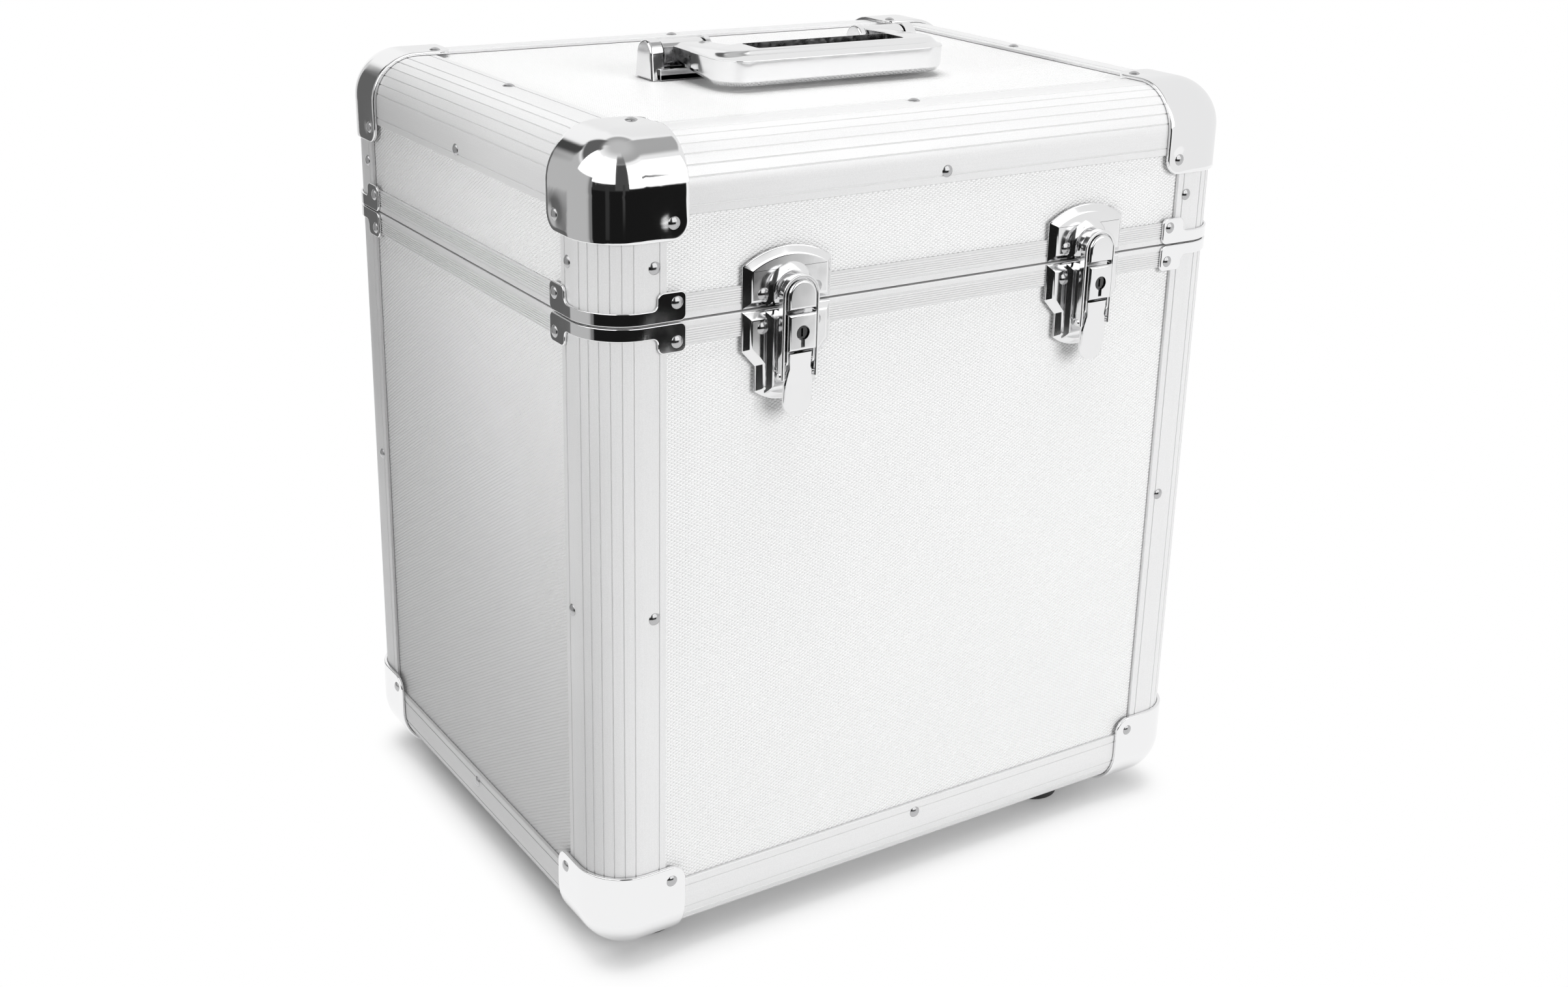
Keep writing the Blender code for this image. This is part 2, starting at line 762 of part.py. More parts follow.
def arched(half, low, side, top, steps=8):
    """Outline with straight sides and a shallow arched end; signs follow side."""
    rise = top - side
    radius = (half * half + rise * rise) / (2 * abs(rise))
    sweep = math.degrees(math.asin(half / radius))
    points = [(-half, low), (half, low)]
    if rise > 0:
        points += arc(0, top - radius, radius, 90.0 - sweep, 90.0 + sweep, steps)
    else:
        points += reversed(arc(0, top + radius, radius, 270.0 - sweep, 270.0 + sweep, steps))
    return points


def front_edges_only(depth):
    """Accept edges that lie wholly at or beyond a distance out of the front."""
    limit = FRONT_Y - depth

    def keep(first, second):
        return first.y < limit and second.y < limit

    return keep


def add_strike(name, center, finish):
    """Plate, raised pad and arched catch block fixed to the lid."""
    place = front_place(center)
    outline = arched(LATCH_HALF_WIDTH, LATCH_SEAM, STRIKE_SIDE, STRIKE_TOP)
    back = FIT_GAP
    front = FIT_GAP + LATCH_PLATE
    half_plate = FIT_GAP + LATCH_PLATE / 2
    plate = prism(outline, place, back, front)
    plate = bevelled(plate, LATCH_PLATE_BEVEL, keep=front_edges_only(half_plate))
    pad_outline = [(-PAD_HALF_WIDTH, LATCH_SEAM + PAD_BEVEL), (PAD_HALF_WIDTH, LATCH_SEAM + PAD_BEVEL)]
    pad_outline += arc(0, PAD_TOP - PAD_HALF_WIDTH, PAD_HALF_WIDTH, 0.0, 180.0, 2 * CORNER_SEGMENTS)
    pad = prism(pad_outline, place, half_plate, front + PAD_RISE)
    pad = bevelled(pad, PAD_BEVEL, keep=front_edges_only(front))
    cap_outline = [(-CAP_HALF_WIDTH, CAP_BOTTOM), (CAP_HALF_WIDTH, CAP_BOTTOM)]
    cap_outline += arc(0, CAP_TOP - CAP_HALF_WIDTH, CAP_HALF_WIDTH, 0.0, 180.0, 2 * CORNER_SEGMENTS)
    cap = prism(cap_outline, place, half_plate, CAP_FRONT)
    cap = bevelled(cap, CAP_BEVEL, keep=front_edges_only(front + PAD_RISE))
    add_object(name, combined(plate, "UNION", [pad, cap]), finish)


def base_outline():
    """Front view of the latch base plate: shoulders, waist and arched foot."""
    half = LATCH_HALF_WIDTH
    low = BASE_LOWER_HALF
    foot = arched(low, -BASE_WAIST, -BASE_LOWER_SIDE, -BASE_BOTTOM)
    points = [(-half, -BASE_SHOULDER), (-half, -LATCH_SEAM), (half, -LATCH_SEAM), (half, -BASE_SHOULDER)]
    points += [(low, -BASE_WAIST)] + foot[2:] + [(-low, -BASE_WAIST)]
    return points


def keyhole_outline():
    """Round hole with a slot below it."""
    half = KEYHOLE_SLOT_HALF
    drop = -KEYHOLE_DROP
    angle = math.degrees(math.asin(half / KEYHOLE_RADIUS))
    points = arc(0, drop, KEYHOLE_RADIUS, 270.0 + angle, 630.0 - angle, ROUND_SEGMENTS)
    points += [(-half, drop - KEYHOLE_SLOT_DROP), (half, drop - KEYHOLE_SLOT_DROP)]
    return points


def add_latch_base(name, center, finish):
    """Base plate, lock housing, lever ears and the lever's fixed pin."""
    place = front_place(center)
    side = side_place(center)
    back = FIT_GAP
    front = FIT_GAP + LATCH_PLATE
    half_plate = FIT_GAP + LATCH_PLATE / 2
    plate = prism(base_outline(), place, back, front)
    plate = bevelled(plate, LATCH_PLATE_BEVEL, keep=front_edges_only(half_plate))
    pad_outline = [
        (-PAD_HALF_WIDTH, -LATCH_SEAM - PAD_BEVEL),
        (PAD_HALF_WIDTH, -LATCH_SEAM - PAD_BEVEL),
        (PAD_HALF_WIDTH, -BASE_LOWER_SIDE),
        (-PAD_HALF_WIDTH, -BASE_LOWER_SIDE),
    ]
    pad = prism(pad_outline, place, half_plate, front + PAD_RISE)
    pad = bevelled(pad, PAD_BEVEL, keep=front_edges_only(front))
    half = HOUSING_HALF_WIDTH
    housing_outline = [(-half, -LATCH_SEAM), (half, -LATCH_SEAM), (half, -HOUSING_BOTTOM), (-half, -HOUSING_BOTTOM)]
    housing = prism(housing_outline, place, half_plate, HOUSING_FRONT)
    housing = bevelled(housing, HOUSING_BEVEL, keep=front_edges_only(front + PAD_RISE))
    tools = [pad, housing]
    ear = [
        (half_plate, -EAR_BOTTOM_DROP),
        (LEVER_PIVOT_OUT - EAR_KNUCKLE * 2, -EAR_BOTTOM_DROP),
    ]
    ear += arc(LEVER_PIVOT_OUT, -LEVER_PIVOT_DROP, EAR_KNUCKLE, 240.0, 360.0, CORNER_SEGMENTS)
    ear += [
        (LEVER_PIVOT_OUT + EAR_KNUCKLE, -HOUSING_BOTTOM + HOUSING_BEVEL),
        (half_plate, -HOUSING_BOTTOM + HOUSING_BEVEL),
    ]
    for sign in (-1, 1):
        ends = sorted((sign * EAR_INNER, sign * EAR_OUTER))
        tools.append(prism(ear, side, ends[0], ends[1]))
    middle = (EAR_INNER + EAR_OUTER) / 2
    pin = circle(LEVER_PIVOT_OUT, -LEVER_PIVOT_DROP, PIN_RADIUS)
    tools.append(prism(pin, side, -middle, middle))
    solid = combined(plate, "UNION", tools)
    bottom = HOUSING_FRONT - CYLINDER_SET_BACK - CYLINDER_LENGTH - CYLINDER_BLIND
    hole = prism(circle(0, -KEYHOLE_DROP, KEYHOLE_RADIUS), place, bottom, HOUSING_FRONT + CAP_BEVEL)
    slot = prism(keyhole_outline(), place, HOUSING_FRONT - KEYHOLE_SLOT_DEPTH, HOUSING_FRONT + CAP_BEVEL)
    add_object(name, combined(solid, "DIFFERENCE", [hole, slot]), finish)


def add_lock_cylinder(name, center, finish):
    """Key barrel that turns inside the housing."""
    place = front_place(0)
    front = HOUSING_FRONT - CYLINDER_SET_BACK
    axis = Vector((center, FRONT_Y - front, SPLIT_Z - KEYHOLE_DROP))
    barrel = prism(circle(0, -KEYHOLE_DROP, CYLINDER_RADIUS), place, front - CYLINDER_LENGTH, front)
    drop = -KEYHOLE_DROP
    half = KEY_SLOT_HALF
    reach = KEY_SLOT_REACH
    slot_outline = [(-half, drop - reach), (half, drop - reach), (half, drop + reach), (-half, drop + reach)]
    slot = prism(slot_outline, place, front - KEY_SLOT_DEPTH, front + CAP_BEVEL)
    mesh = combined(barrel, "DIFFERENCE", [slot])
    for vertex in mesh.vertices:
        vertex.co += Vector((center, 0, 0)) - axis
    piece = add_object(name, mesh, finish)
    piece.location = axis


def lever_front(drop):
    """Distance of the lever's front surface from the case at a given drop below the split."""
    if drop <= LEVER_CREASE_DROP:
        share = (drop - LEVER_TOP_DROP) / (LEVER_CREASE_DROP - LEVER_TOP_DROP)
        return LEVER_TOP_OUT + (LEVER_CREASE_OUT - LEVER_TOP_OUT) * share
    share = (drop - LEVER_CREASE_DROP) / (LEVER_END_DROP - LEVER_CREASE_DROP)
    return LEVER_CREASE_OUT + (LEVER_END_OUT - LEVER_CREASE_OUT) * share


def lever_rows():
    """Half widths of the lever plate from top to rounded end."""
    rows = [
        (LEVER_TOP_DROP, LEVER_NECK_HALF),
        (LEVER_NECK_DROP, LEVER_NECK_HALF),
        (LEVER_CREASE_DROP, LEVER_CREASE_HALF),
    ]
    reach = LEVER_CREASE_HALF
    start = LEVER_END_DROP - reach
    steps = 2 * SMALL_SEGMENTS
    for step in range(steps):
        angle = math.radians(90.0 * step / steps)
        rows.append((start + reach * math.sin(angle), reach * math.cos(angle)))
    tip = LEVER_SHEET / 2
    rows.append((LEVER_END_DROP, tip))
    return rows


def moved_to_axis(mesh, axis):
    """Shift a mesh so that the axis point becomes its origin."""
    for vertex in mesh.vertices:
        vertex.co -= axis
    return mesh


def add_lever(name, center, finish):
    """Bent lever plate with two cheeks bored for its pivot and the bail."""
    rings = []
    for drop, half in lever_rows():
        out = lever_front(drop)
        ring = []
        for u, w in ((-half, out), (half, out), (half, out - LEVER_SHEET), (-half, out - LEVER_SHEET)):
            ring.append((center + u, FRONT_Y - w, SPLIT_Z - drop))
        rings.append(ring)
    plate = loft(rings)
    side = side_place(center)
    knuckle = LEVER_KNUCKLE
    top = (LEVER_PIVOT_OUT, -LEVER_PIVOT_DROP)
    low = (BAIL_PIVOT_OUT, -BAIL_PIVOT_DROP)
    back_top = lever_front(LEVER_PIVOT_DROP) - LEVER_SHEET / 2
    back_low = lever_front(BAIL_PIVOT_DROP) - LEVER_SHEET / 2
    cheek = arc(top[0], top[1], knuckle, 90.0, 190.0, CORNER_SEGMENTS)
    cheek += arc(low[0], low[1], knuckle, 190.0, 300.0, CORNER_SEGMENTS)
    cheek += [(back_low, -BAIL_PIVOT_DROP - knuckle), (back_top, -LEVER_PIVOT_DROP + knuckle)]
    tools = []
    for sign in (-1, 1):
        ends = sorted((sign * LEVER_CHEEK_INNER, sign * LEVER_CHEEK_OUTER))
        tools.append(prism(cheek, side, ends[0], ends[1]))
    solid = combined(plate, "UNION", tools)
    bore = PIN_RADIUS + PIN_CLEARANCE
    reach = LEVER_CREASE_HALF + PIN_RADIUS
    holes = [prism(circle(top[0], top[1], bore), side, -reach, reach)]
    holes.append(prism(circle(low[0], low[1], bore), side, -reach, reach))
    solid = combined(solid, "DIFFERENCE", holes)
    axis = Vector((center, FRONT_Y - LEVER_PIVOT_OUT, SPLIT_Z - LEVER_PIVOT_DROP))
    piece = add_object(name, moved_to_axis(solid, axis), finish)
    piece.location = axis
    return piece


def add_bail(name, center, finish, lever):
    """Arched loop hooked over the catch, with stubs in the lever's cheeks."""
    inner = CAP_HALF_WIDTH + BAIL_GAP
    outer = inner + BAIL_THICKNESS
    rise = CAP_TOP - CAP_HALF_WIDTH
    low = -BAIL_PIVOT_DROP - BAIL_END
    points = [(outer, low)]
    points += arc(0, rise, outer, 0.0, 180.0, 2 * CORNER_SEGMENTS)
    points += [(-outer, low), (-inner, low)]
    points += arc(0, rise, inner, 180.0, 0.0, 2 * CORNER_SEGMENTS)
    points.append((inner, low))
    loop = prism(points, front_place(center), BAIL_BACK, BAIL_FRONT)
    loop = bevelled(loop, BAIL_BEVEL, keep=front_edges_only((BAIL_BACK + BAIL_FRONT) / 2))
    stubs = []
    middle = (inner + outer) / 2
    for sign in (-1, 1):
        ends = sorted((sign * BAIL_STUB_END, sign * middle))
        outline = circle(BAIL_PIVOT_OUT, -BAIL_PIVOT_DROP, PIN_RADIUS)
        stubs.append(prism(outline, side_place(center), ends[0], ends[1]))
    solid = combined(loop, "UNION", stubs)
    axis = Vector((center, FRONT_Y - BAIL_PIVOT_OUT, SPLIT_Z - BAIL_PIVOT_DROP))
    piece = add_object(name, moved_to_axis(solid, axis), finish)
    piece.parent = lever
    piece.location = axis - lever.location


def add_latches(chrome, brass):
    """Two complete draw latches."""
    for sign, side in ((-1, "left"), (1, "right")):
        center = sign * LATCH_OFFSET
        add_strike("strike_%s" % side, center, chrome)
        add_latch_base("latch_base_%s" % side, center, chrome)
        add_lock_cylinder("lock_cylinder_%s" % side, center, brass)
        lever = add_lever("lever_%s" % side, center, chrome)
        add_bail("bail_%s" % side, center, chrome, lever)


def back_place(center):
    """Place an outline on the back: u across, v up from the split, w out of the case."""

    def place(u, v, w):
        return (center + u, BACK_Y + w, SPLIT_Z + v)

    return place


def hinge_side_place(center):
    """Place an outline seen along the hinge: u out of the back, v up, w across."""

    def place(u, v, w):
        return (center + w, BACK_Y + u, SPLIT_Z + v)

    return place


def leaf_outline(sign):
    """Leaf plate with two rounded corners away from the split."""
    half = HINGE_HALF_WIDTH
    turn = HINGE_LEAF_CORNER
    far = HINGE_LEAF_REACH
    points = [(-half, HINGE_LEAF_START), (half, HINGE_LEAF_START)]
    points += arc(half - turn, far - turn, turn, 0.0, 90.0, SMALL_SEGMENTS)
    points += arc(turn - half, far - turn, turn, 90.0, 180.0, SMALL_SEGMENTS)
    return [(u, sign * v) for u, v in points]


def add_hinge(name, center, finish, sign):
    """One hinge leaf; the lid leaf has the middle knuckle and the pin."""
    place = back_place(center)
    side = hinge_side_place(center)
    seat = FIT_GAP
    leaf = prism(leaf_outline(sign), place, seat, seat + HINGE_LEAF)
    axis = (HINGE_AXIS_OUT, 0)
    radius = HINGE_KNUCKLE
    arm = [(seat, sign * (HINGE_LEAF_START + HINGE_LEAF)), (seat, sign * HINGE_LEAF_START)]
    arm += arc(axis[0], axis[1], radius, 190.0 * sign, 450.0 * sign, 2 * CORNER_SEGMENTS)
    arm.append((seat + HINGE_LEAF, sign * (radius + HINGE_LEAF)))
    half = HINGE_KNUCKLE_HALF
    wide = HINGE_HALF_WIDTH
    if sign > 0:
        spans = [(-half, half)]
    else:
        spans = [(-wide, -half - FIT_GAP), (half + FIT_GAP, wide)]
    tools = [prism(arm, side, low, high) for low, high in spans]
    solid = combined(leaf, "UNION", tools)
    if sign > 0:
        pin = prism(circle(axis[0], axis[1], HINGE_PIN), side, -wide, wide)
        solid = combined(solid, "UNION", [pin])
    else:
        bore = prism(circle(axis[0], axis[1], HINGE_PIN + PIN_CLEARANCE), side, -wide - radius, wide + radius)
        solid = combined(solid, "DIFFERENCE", [bore])
    add_object(name, solid, finish)


def add_hinges(finish):
    """Two rear hinges."""
    for sign, side in ((-1, "left"), (1, "right")):
        center = sign * HINGE_OFFSET
        add_hinge("hinge_body_%s" % side, center, finish, -1)
        add_hinge("hinge_lid_%s" % side, center, finish, 1)


def handle_stations():
    """Plan stations round the handle: outer point, inner point and how far onto the arm they lie."""
    front = -HANDLE_FRONT
    half = HANDLE_HALF_WIDTH
    turn = HANDLE_CORNER
    inner_y = front + HANDLE_GRIP_WIDTH
    middle = (HANDLE_GAP_HALF + HANDLE_ARM_INNER) / 2
    full, most, part = ARM_SHARES
    stations = [
        ((half, 0), (HANDLE_ARM_INNER, 0), full),
        ((half, -BARREL_RADIUS), (HANDLE_ARM_INNER, -BARREL_RADIUS), full),
        ((half, inner_y + BARREL_RADIUS), (HANDLE_ARM_INNER, inner_y + BARREL_RADIUS), most),
        ((half, inner_y), (middle, inner_y + TROUGH_CORNER), part),
    ]
    steps = CORNER_SEGMENTS
    for step, (u, v) in enumerate(arc(half - turn, front + turn, turn, 0.0, -90.0, steps)):
        stations.append(((u, v), (HANDLE_GAP_HALF - HANDLE_FAN * step, inner_y), 0))
    flat = []
    mirror = []
    for outer, inner, share in stations:
        mirror.append(((-outer[0], outer[1]), (-inner[0], inner[1]), share))
    flat += stations
    flat += reversed(mirror)
    return flat


def handle_section(outer, inner, share):
    """One closed section of the handle between an outer and an inner plan point."""
    across = Vector((inner[0] - outer[0], inner[1] - outer[1]))
    unit = across.normalized()
    base = PANEL_TOP_Z
    under = HANDLE_BOTTOM + (HANDLE_ARM_UNDER - HANDLE_BOTTOM) * share
    wall_low = under + (HANDLE_WALL_BOTTOM - HANDLE_BOTTOM)
    wall_top = HANDLE_WALL_TOP + (HANDLE_ARM_TOP - HANDLE_WALL_TOP) * share
    crown = min(HANDLE_CROWN, across.length / 2)
    soft = HANDLE_CHAMFER / 2
    rows = [
        (HANDLE_CHAMFER, under),
        (0, wall_low),
        (0, wall_top - soft / 2),
        (soft / 2, wall_top),
        (crown * CROWN_SHARES[0], wall_top + (HANDLE_TOP - wall_top) * CROWN_SHARES[1]),
        (crown, HANDLE_TOP),
        (across.length - soft, HANDLE_TOP),
        (across.length, HANDLE_TOP - soft),
        (across.length, under + soft),
        (across.length - soft, under),
    ]
    points = []
    for distance, height in rows:
        points.append((outer[0] + unit.x * distance, HANDLE_Y + outer[1] + unit.y * distance, base + height))
    return points


def add_handle(finish):
    """Cast handle: swept loop, pivot barrels and the sunk trough along the grip."""
    rings = [handle_section(outer, inner, share) for outer, inner, share in handle_stations()]
    loop = loft(rings)
    tools = []
    pivot = circle(HANDLE_Y, HANDLE_PIVOT_Z, BARREL_RADIUS, 2 * ROUND_SEGMENTS)
    for sign in (-1, 1):
        ends = sorted((sign * BARREL_INNER, sign * BARREL_OUTER))
        tools.append(prism(pivot, along_x, ends[0], ends[1]))
    solid = combined(loop, "UNION", tools)
    start = -HANDLE_FRONT + TROUGH_START
    half = TROUGH_HALF_WIDTH
    outline = rounded_rectangle(half, TROUGH_WIDTH / 2, TROUGH_CORNER, SMALL_SEGMENTS)
    middle = HANDLE_Y + start + TROUGH_WIDTH / 2
    trough = prism(
        [(u, v + middle) for u, v in outline],
        along_z,
        PANEL_TOP_Z + HANDLE_TOP - TROUGH_DEPTH,
        PANEL_TOP_Z + HANDLE_TOP + TROUGH_CORNER,
    )
    bore_radius = MOUNT_PIN_RADIUS + MOUNT_PIN_CLEARANCE
    bore = prism(circle(HANDLE_Y, HANDLE_PIVOT_Z, bore_radius), along_x, -HALF_WIDTH, HALF_WIDTH)
    solid = combined(solid, "DIFFERENCE", [trough, bore])
    axis = Vector((0, HANDLE_Y, HANDLE_PIVOT_Z))
    piece = add_object("handle", moved_to_axis(solid, axis), finish)
    piece.location = axis


def lug_outline(front, back):
    """Side view of a mount cheek: straight base drawn up to a round top."""
    base = PANEL_TOP_Z + FIT_GAP
    radius = MOUNT_LUG_RADIUS
    points = [(HANDLE_Y + back, base), (HANDLE_Y + back, base + MOUNT_BASE)]
    points += arc(HANDLE_Y, HANDLE_PIVOT_Z, radius, 10.0, 170.0, 2 * CORNER_SEGMENTS)
    points += [(HANDLE_Y - front, base + MOUNT_BASE), (HANDLE_Y - front, base)]
    return points


def flared(mesh, sign):
    """Lean the outer face of a cheek outwards towards its base."""
    base = PANEL_TOP_Z + FIT_GAP
    height = MOUNT_PIVOT_HEIGHT + MOUNT_LUG_RADIUS
    face = MOUNT_OUTER_FACE - FIT_GAP
    for vertex in mesh.vertices:
        if abs(vertex.co.x) > face:
            share = 1.0 - min(max((vertex.co.z - base) / height, 0), 1.0)
            vertex.co.x += sign * MOUNT_OUTER_FLARE * share
    return mesh


def add_mount(name, sign, finish):
    """Handle mount: base, front lip, rear stop, two cheeks and the fixed pin."""
    base = PANEL_TOP_Z + FIT_GAP
    low, high = sorted((sign * MOUNT_INNER_FACE, sign * MOUNT_OUTER_FACE))
    front = HANDLE_Y - MOUNT_FRONT
    back = HANDLE_Y + MOUNT_BACK
    plate = box_mesh((low, front, base), (high, back, base + MOUNT_BASE))
    lip = box_mesh((low, front, base), (high, front + MOUNT_LIP_WIDTH, base + MOUNT_LIP))
    stop = box_mesh((low, HANDLE_Y + MOUNT_STOP_START, base), (high, back, base + MOUNT_STOP_HEIGHT))
    lug = lug_outline(MOUNT_FRONT, MOUNT_BACK)
    tools = [lip, stop]
    ends = sorted((sign * MOUNT_OUTER_INNER, sign * MOUNT_OUTER_FACE))
    outer = flared(prism(lug, along_x, ends[0], ends[1]), sign)
    tools.append(outer)
    ends = sorted((sign * MOUNT_INNER_FACE, sign * MOUNT_INNER_INNER))
    tools.append(prism(lug, along_x, ends[0], ends[1]))
    middle_low = (MOUNT_INNER_FACE + MOUNT_INNER_INNER) / 2
    middle_high = (MOUNT_OUTER_INNER + MOUNT_OUTER_FACE) / 2
    ends = sorted((sign * middle_low, sign * middle_high))
    tools.append(prism(circle(HANDLE_Y, HANDLE_PIVOT_Z, MOUNT_PIN_RADIUS), along_x, ends[0], ends[1]))
    add_object(name, combined(plate, "UNION", tools), finish)


CORNER_NAMES = (
    (-1, -1, "front_left"),
    (1, -1, "front_right"),
    (-1, 1, "back_left"),
    (1, 1, "back_right"),
)


def main():
    """Build every piece of the case."""
    clear_scene()
    laminate = finish_of("laminate", (0.80, 0.80, 0.79), 0.25, 0.45)
    aluminium = finish_of("aluminium", (0.78, 0.78, 0.79), 1.0, 0.34)
    ribbed = finish_of("ribbed_aluminium", (0.76, 0.76, 0.77), 1.0, 0.36)
    chrome = finish_of("chrome", (0.72, 0.72, 0.73), 1.0, 0.06)
    bright = finish_of("latch_chrome", (0.66, 0.66, 0.67), 1.0, 0.07)
    steel = finish_of("hinge_steel", (0.62, 0.62, 0.63), 1.0, 0.25)
    dark = finish_of("lock_steel", (0.10, 0.10, 0.10), 1.0, 0.3)
    rubber = finish_of("foot_rubber", (0.02, 0.02, 0.02), 0, 0.7)
    foam = finish_of("foam_lining", (0.03, 0.03, 0.03), 0, 0.9)
    add_panels(laminate)
    add_linings(foam)
    add_posts(aluminium)
    add_edges(aluminium)
    add_rims(ribbed)
    add_ball_corners(chrome)
    add_feet(rubber)
    add_latches(bright, dark)
    add_hinges(steel)
    add_handle(bright)
    for sign, side in ((-1, "left"), (1, "right")):
        add_mount("handle_mount_%s" % side, sign, bright)


main()
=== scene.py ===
"""Visual model of a record carrying case: panels in aluminium, ball corners, latches and a handle."""

from __future__ import annotations

import logging
from collections.abc import Callable, Iterable, Sequence
from dataclasses import dataclass, field
from enum import Enum
from math import asin, copysign, cos, degrees, exp, hypot, pi, radians, sin, sqrt
from typing import Any

import bmesh
import bpy
import numpy as np
from bmesh.types import BMesh, BMVert
from bpy.types import ID, Material, Mesh, Node, NodeSocket, NodeTree, Object
from mathutils import Matrix, Vector

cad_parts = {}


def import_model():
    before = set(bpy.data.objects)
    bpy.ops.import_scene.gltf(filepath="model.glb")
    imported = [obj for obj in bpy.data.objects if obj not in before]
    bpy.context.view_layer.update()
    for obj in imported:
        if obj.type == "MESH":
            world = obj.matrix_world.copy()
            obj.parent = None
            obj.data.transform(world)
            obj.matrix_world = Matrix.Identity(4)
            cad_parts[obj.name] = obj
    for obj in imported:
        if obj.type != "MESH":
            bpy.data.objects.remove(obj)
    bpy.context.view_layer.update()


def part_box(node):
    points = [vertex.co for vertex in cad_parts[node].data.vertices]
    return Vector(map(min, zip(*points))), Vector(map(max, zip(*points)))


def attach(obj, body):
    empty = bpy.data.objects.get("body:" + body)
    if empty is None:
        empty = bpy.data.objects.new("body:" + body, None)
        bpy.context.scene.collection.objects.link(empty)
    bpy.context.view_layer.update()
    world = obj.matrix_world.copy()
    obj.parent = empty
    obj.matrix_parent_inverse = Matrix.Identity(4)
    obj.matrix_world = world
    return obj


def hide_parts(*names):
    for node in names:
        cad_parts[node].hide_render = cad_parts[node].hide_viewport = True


Point = Sequence[float]
Pair = tuple[float, float]
Triple = tuple[float, float, float]
Spots = list[tuple[Vector, Vector]]
Outline = list[Pair]
Place = Callable[[float, float, float], Point]
log = logging.getLogger("record_case")

CORNERS = ((-1, -1, "front_left"), (1, -1, "front_right"), (-1, 1, "back_left"), (1, 1, "back_right"))
SIDES = ((-1, "left"), (1, "right"))
FLOAT = "NodeSocketFloat"
VECTOR = "NodeSocketVector"
GEOMETRY = "NodeSocketGeometry"
MITRE_LIMIT = 0.3
NOISE_RANGE = (0.3, 0.7)
GRAIN_RANGE = (0.35, 0.65)
PATCH_VALUES = ("Level", "Middle", "Half", "Low", "High", "Soft", "Top Soft")
PATCH_INPUTS = ("Azimuth", "Elevation", "Base", *PATCH_VALUES)


class Axis(Enum):
    """Direction that a rolled or drawn metal's grain follows."""

    X = 0
    Y = 1
    Z = 2


class Half(Enum):
    """Halves of the case: body, sign of their side of the split, label and name of the far end."""

    BODY = ("case_body", -1, "body", "bottom")
    LID = ("lid", 1, "lid", "top")

    @property
    def body(self) -> str:
        """Body that the half's pieces ride on."""
        return self.value[0]

    @property
    def sign(self) -> int:
        """Minus one below the split, one above."""
        return self.value[1]

    @property
    def label(self) -> str:
        """Word that starts the half's node names."""
        return self.value[2]

    @property
    def end(self) -> str:
        """Word for the half's far end."""
        return self.value[3]


# Outlines


def arc(center: Pair, radius: float, first: float, last: float, steps: int) -> Outline:
    """Points of an arc in degrees, both ends included."""
    turns = np.radians(np.linspace(first, last, steps + 1))
    return [(center[0] + radius * cos(t), center[1] + radius * sin(t)) for t in turns]


def circle(center: Pair, radius: float, sides: int = 32) -> Outline:
    """Points of a full circle."""
    return arc(center, radius, 0.0, 360.0, sides)[:-1]


def rounded_box(half_u: float, half_v: float, radius: float, steps: int = 8) -> Outline:
    """Rectangle with round corners, counterclockwise.

    Args:
        half_u: Half width.
        half_v: Half height.
        radius: Radius of the corners.
        steps: Steps round each corner.

    Returns:
        The outline.
    """
    points: Outline = []
    for index, (su, sv) in enumerate(((1, 1), (-1, 1), (-1, -1), (1, -1))):
        center = (su * (half_u - radius), sv * (half_v - radius))
        points += arc(center, radius, 90.0 * index, 90.0 * index + 90.0, steps)
    return points


def block_outline(half: float, low: float, high: float) -> Outline:
    """Rectangle about the middle, counterclockwise."""
    return [(half, low), (half, high), (-half, high), (-half, low)]


def arched(half: float, low: float, side: float, top: float, steps: int = 24) -> Outline:
    """Outline with straight sides and a shallow arched far end, counterclockwise.

    Args:
        half: Half width.
        low: Height of the straight end.
        side: Height where the arch starts.
        top: Height of its crown.
        steps: Steps of the arch.

    Returns:
        The outline.
    """
    rise = top - side
    radius = (half * half + rise * rise) / (2 * abs(rise))
    sweep = degrees(asin(half / radius))
    if rise > 0:
        return [(-half, low), (half, low)] + arc((0, top - radius), radius, 90 - sweep, 90 + sweep, steps)
    foot = arc((0, top + radius), radius, 270 - sweep, 270 + sweep, steps)
    return foot + [(half, low), (-half, low)]


def inset(outline: Outline, distance: float) -> Outline:
    """Counterclockwise outline moved inward by a distance with mitred corners.

    Args:
        outline: The outline.
        distance: How far it moves.

    Returns:
        The smaller outline.
    """
    moved: Outline = []
    count = len(outline)
    for index, point in enumerate(outline):
        before = Vector(outline[index - 1])
        here = Vector(point)
        after = Vector(outline[(index + 1) % count])
        first = (here - before).normalized()
        second = (after - here).normalized()
        normals = Vector((-first.y, first.x)), Vector((-second.y, second.x))
        scale = distance / max(1 + normals[0].dot(normals[1]), MITRE_LIMIT)
        shift = (normals[0] + normals[1]) * scale
        moved.append((here.x + shift.x, here.y + shift.y))
    return moved


# Meshes


def flat_place(u: float, v: float, w: float) -> Point:
    """Leave a point where it is."""
    return (u, v, w)


def ring_solid(rings: Sequence[Sequence[Point]], closed: bool = False) -> BMesh:
    """Join equal rings of points into a closed solid.

    Args:
        rings: Rings in order, each with the same number of points.
        closed: Whether the last ring joins the first, with no end caps.

    Returns:
        The solid with its normals facing out.
    """
    bm = bmesh.new()
    rows = [[bm.verts.new(point) for point in ring] for ring in rings]
    count = len(rows[0])
    pairs = list(zip(rows, rows[1:] + rows[:1])) if closed else list(zip(rows, rows[1:]))
    for low, high in pairs:
        for index in range(count):
            after = (index + 1) % count
            bm.faces.new((low[index], low[after], high[after], high[index]))
    if not closed:
        bm.faces.new(list(reversed(rows[0])))
        bm.faces.new(rows[-1])
    bmesh.ops.recalc_face_normals(bm, faces=bm.faces)
    return bm


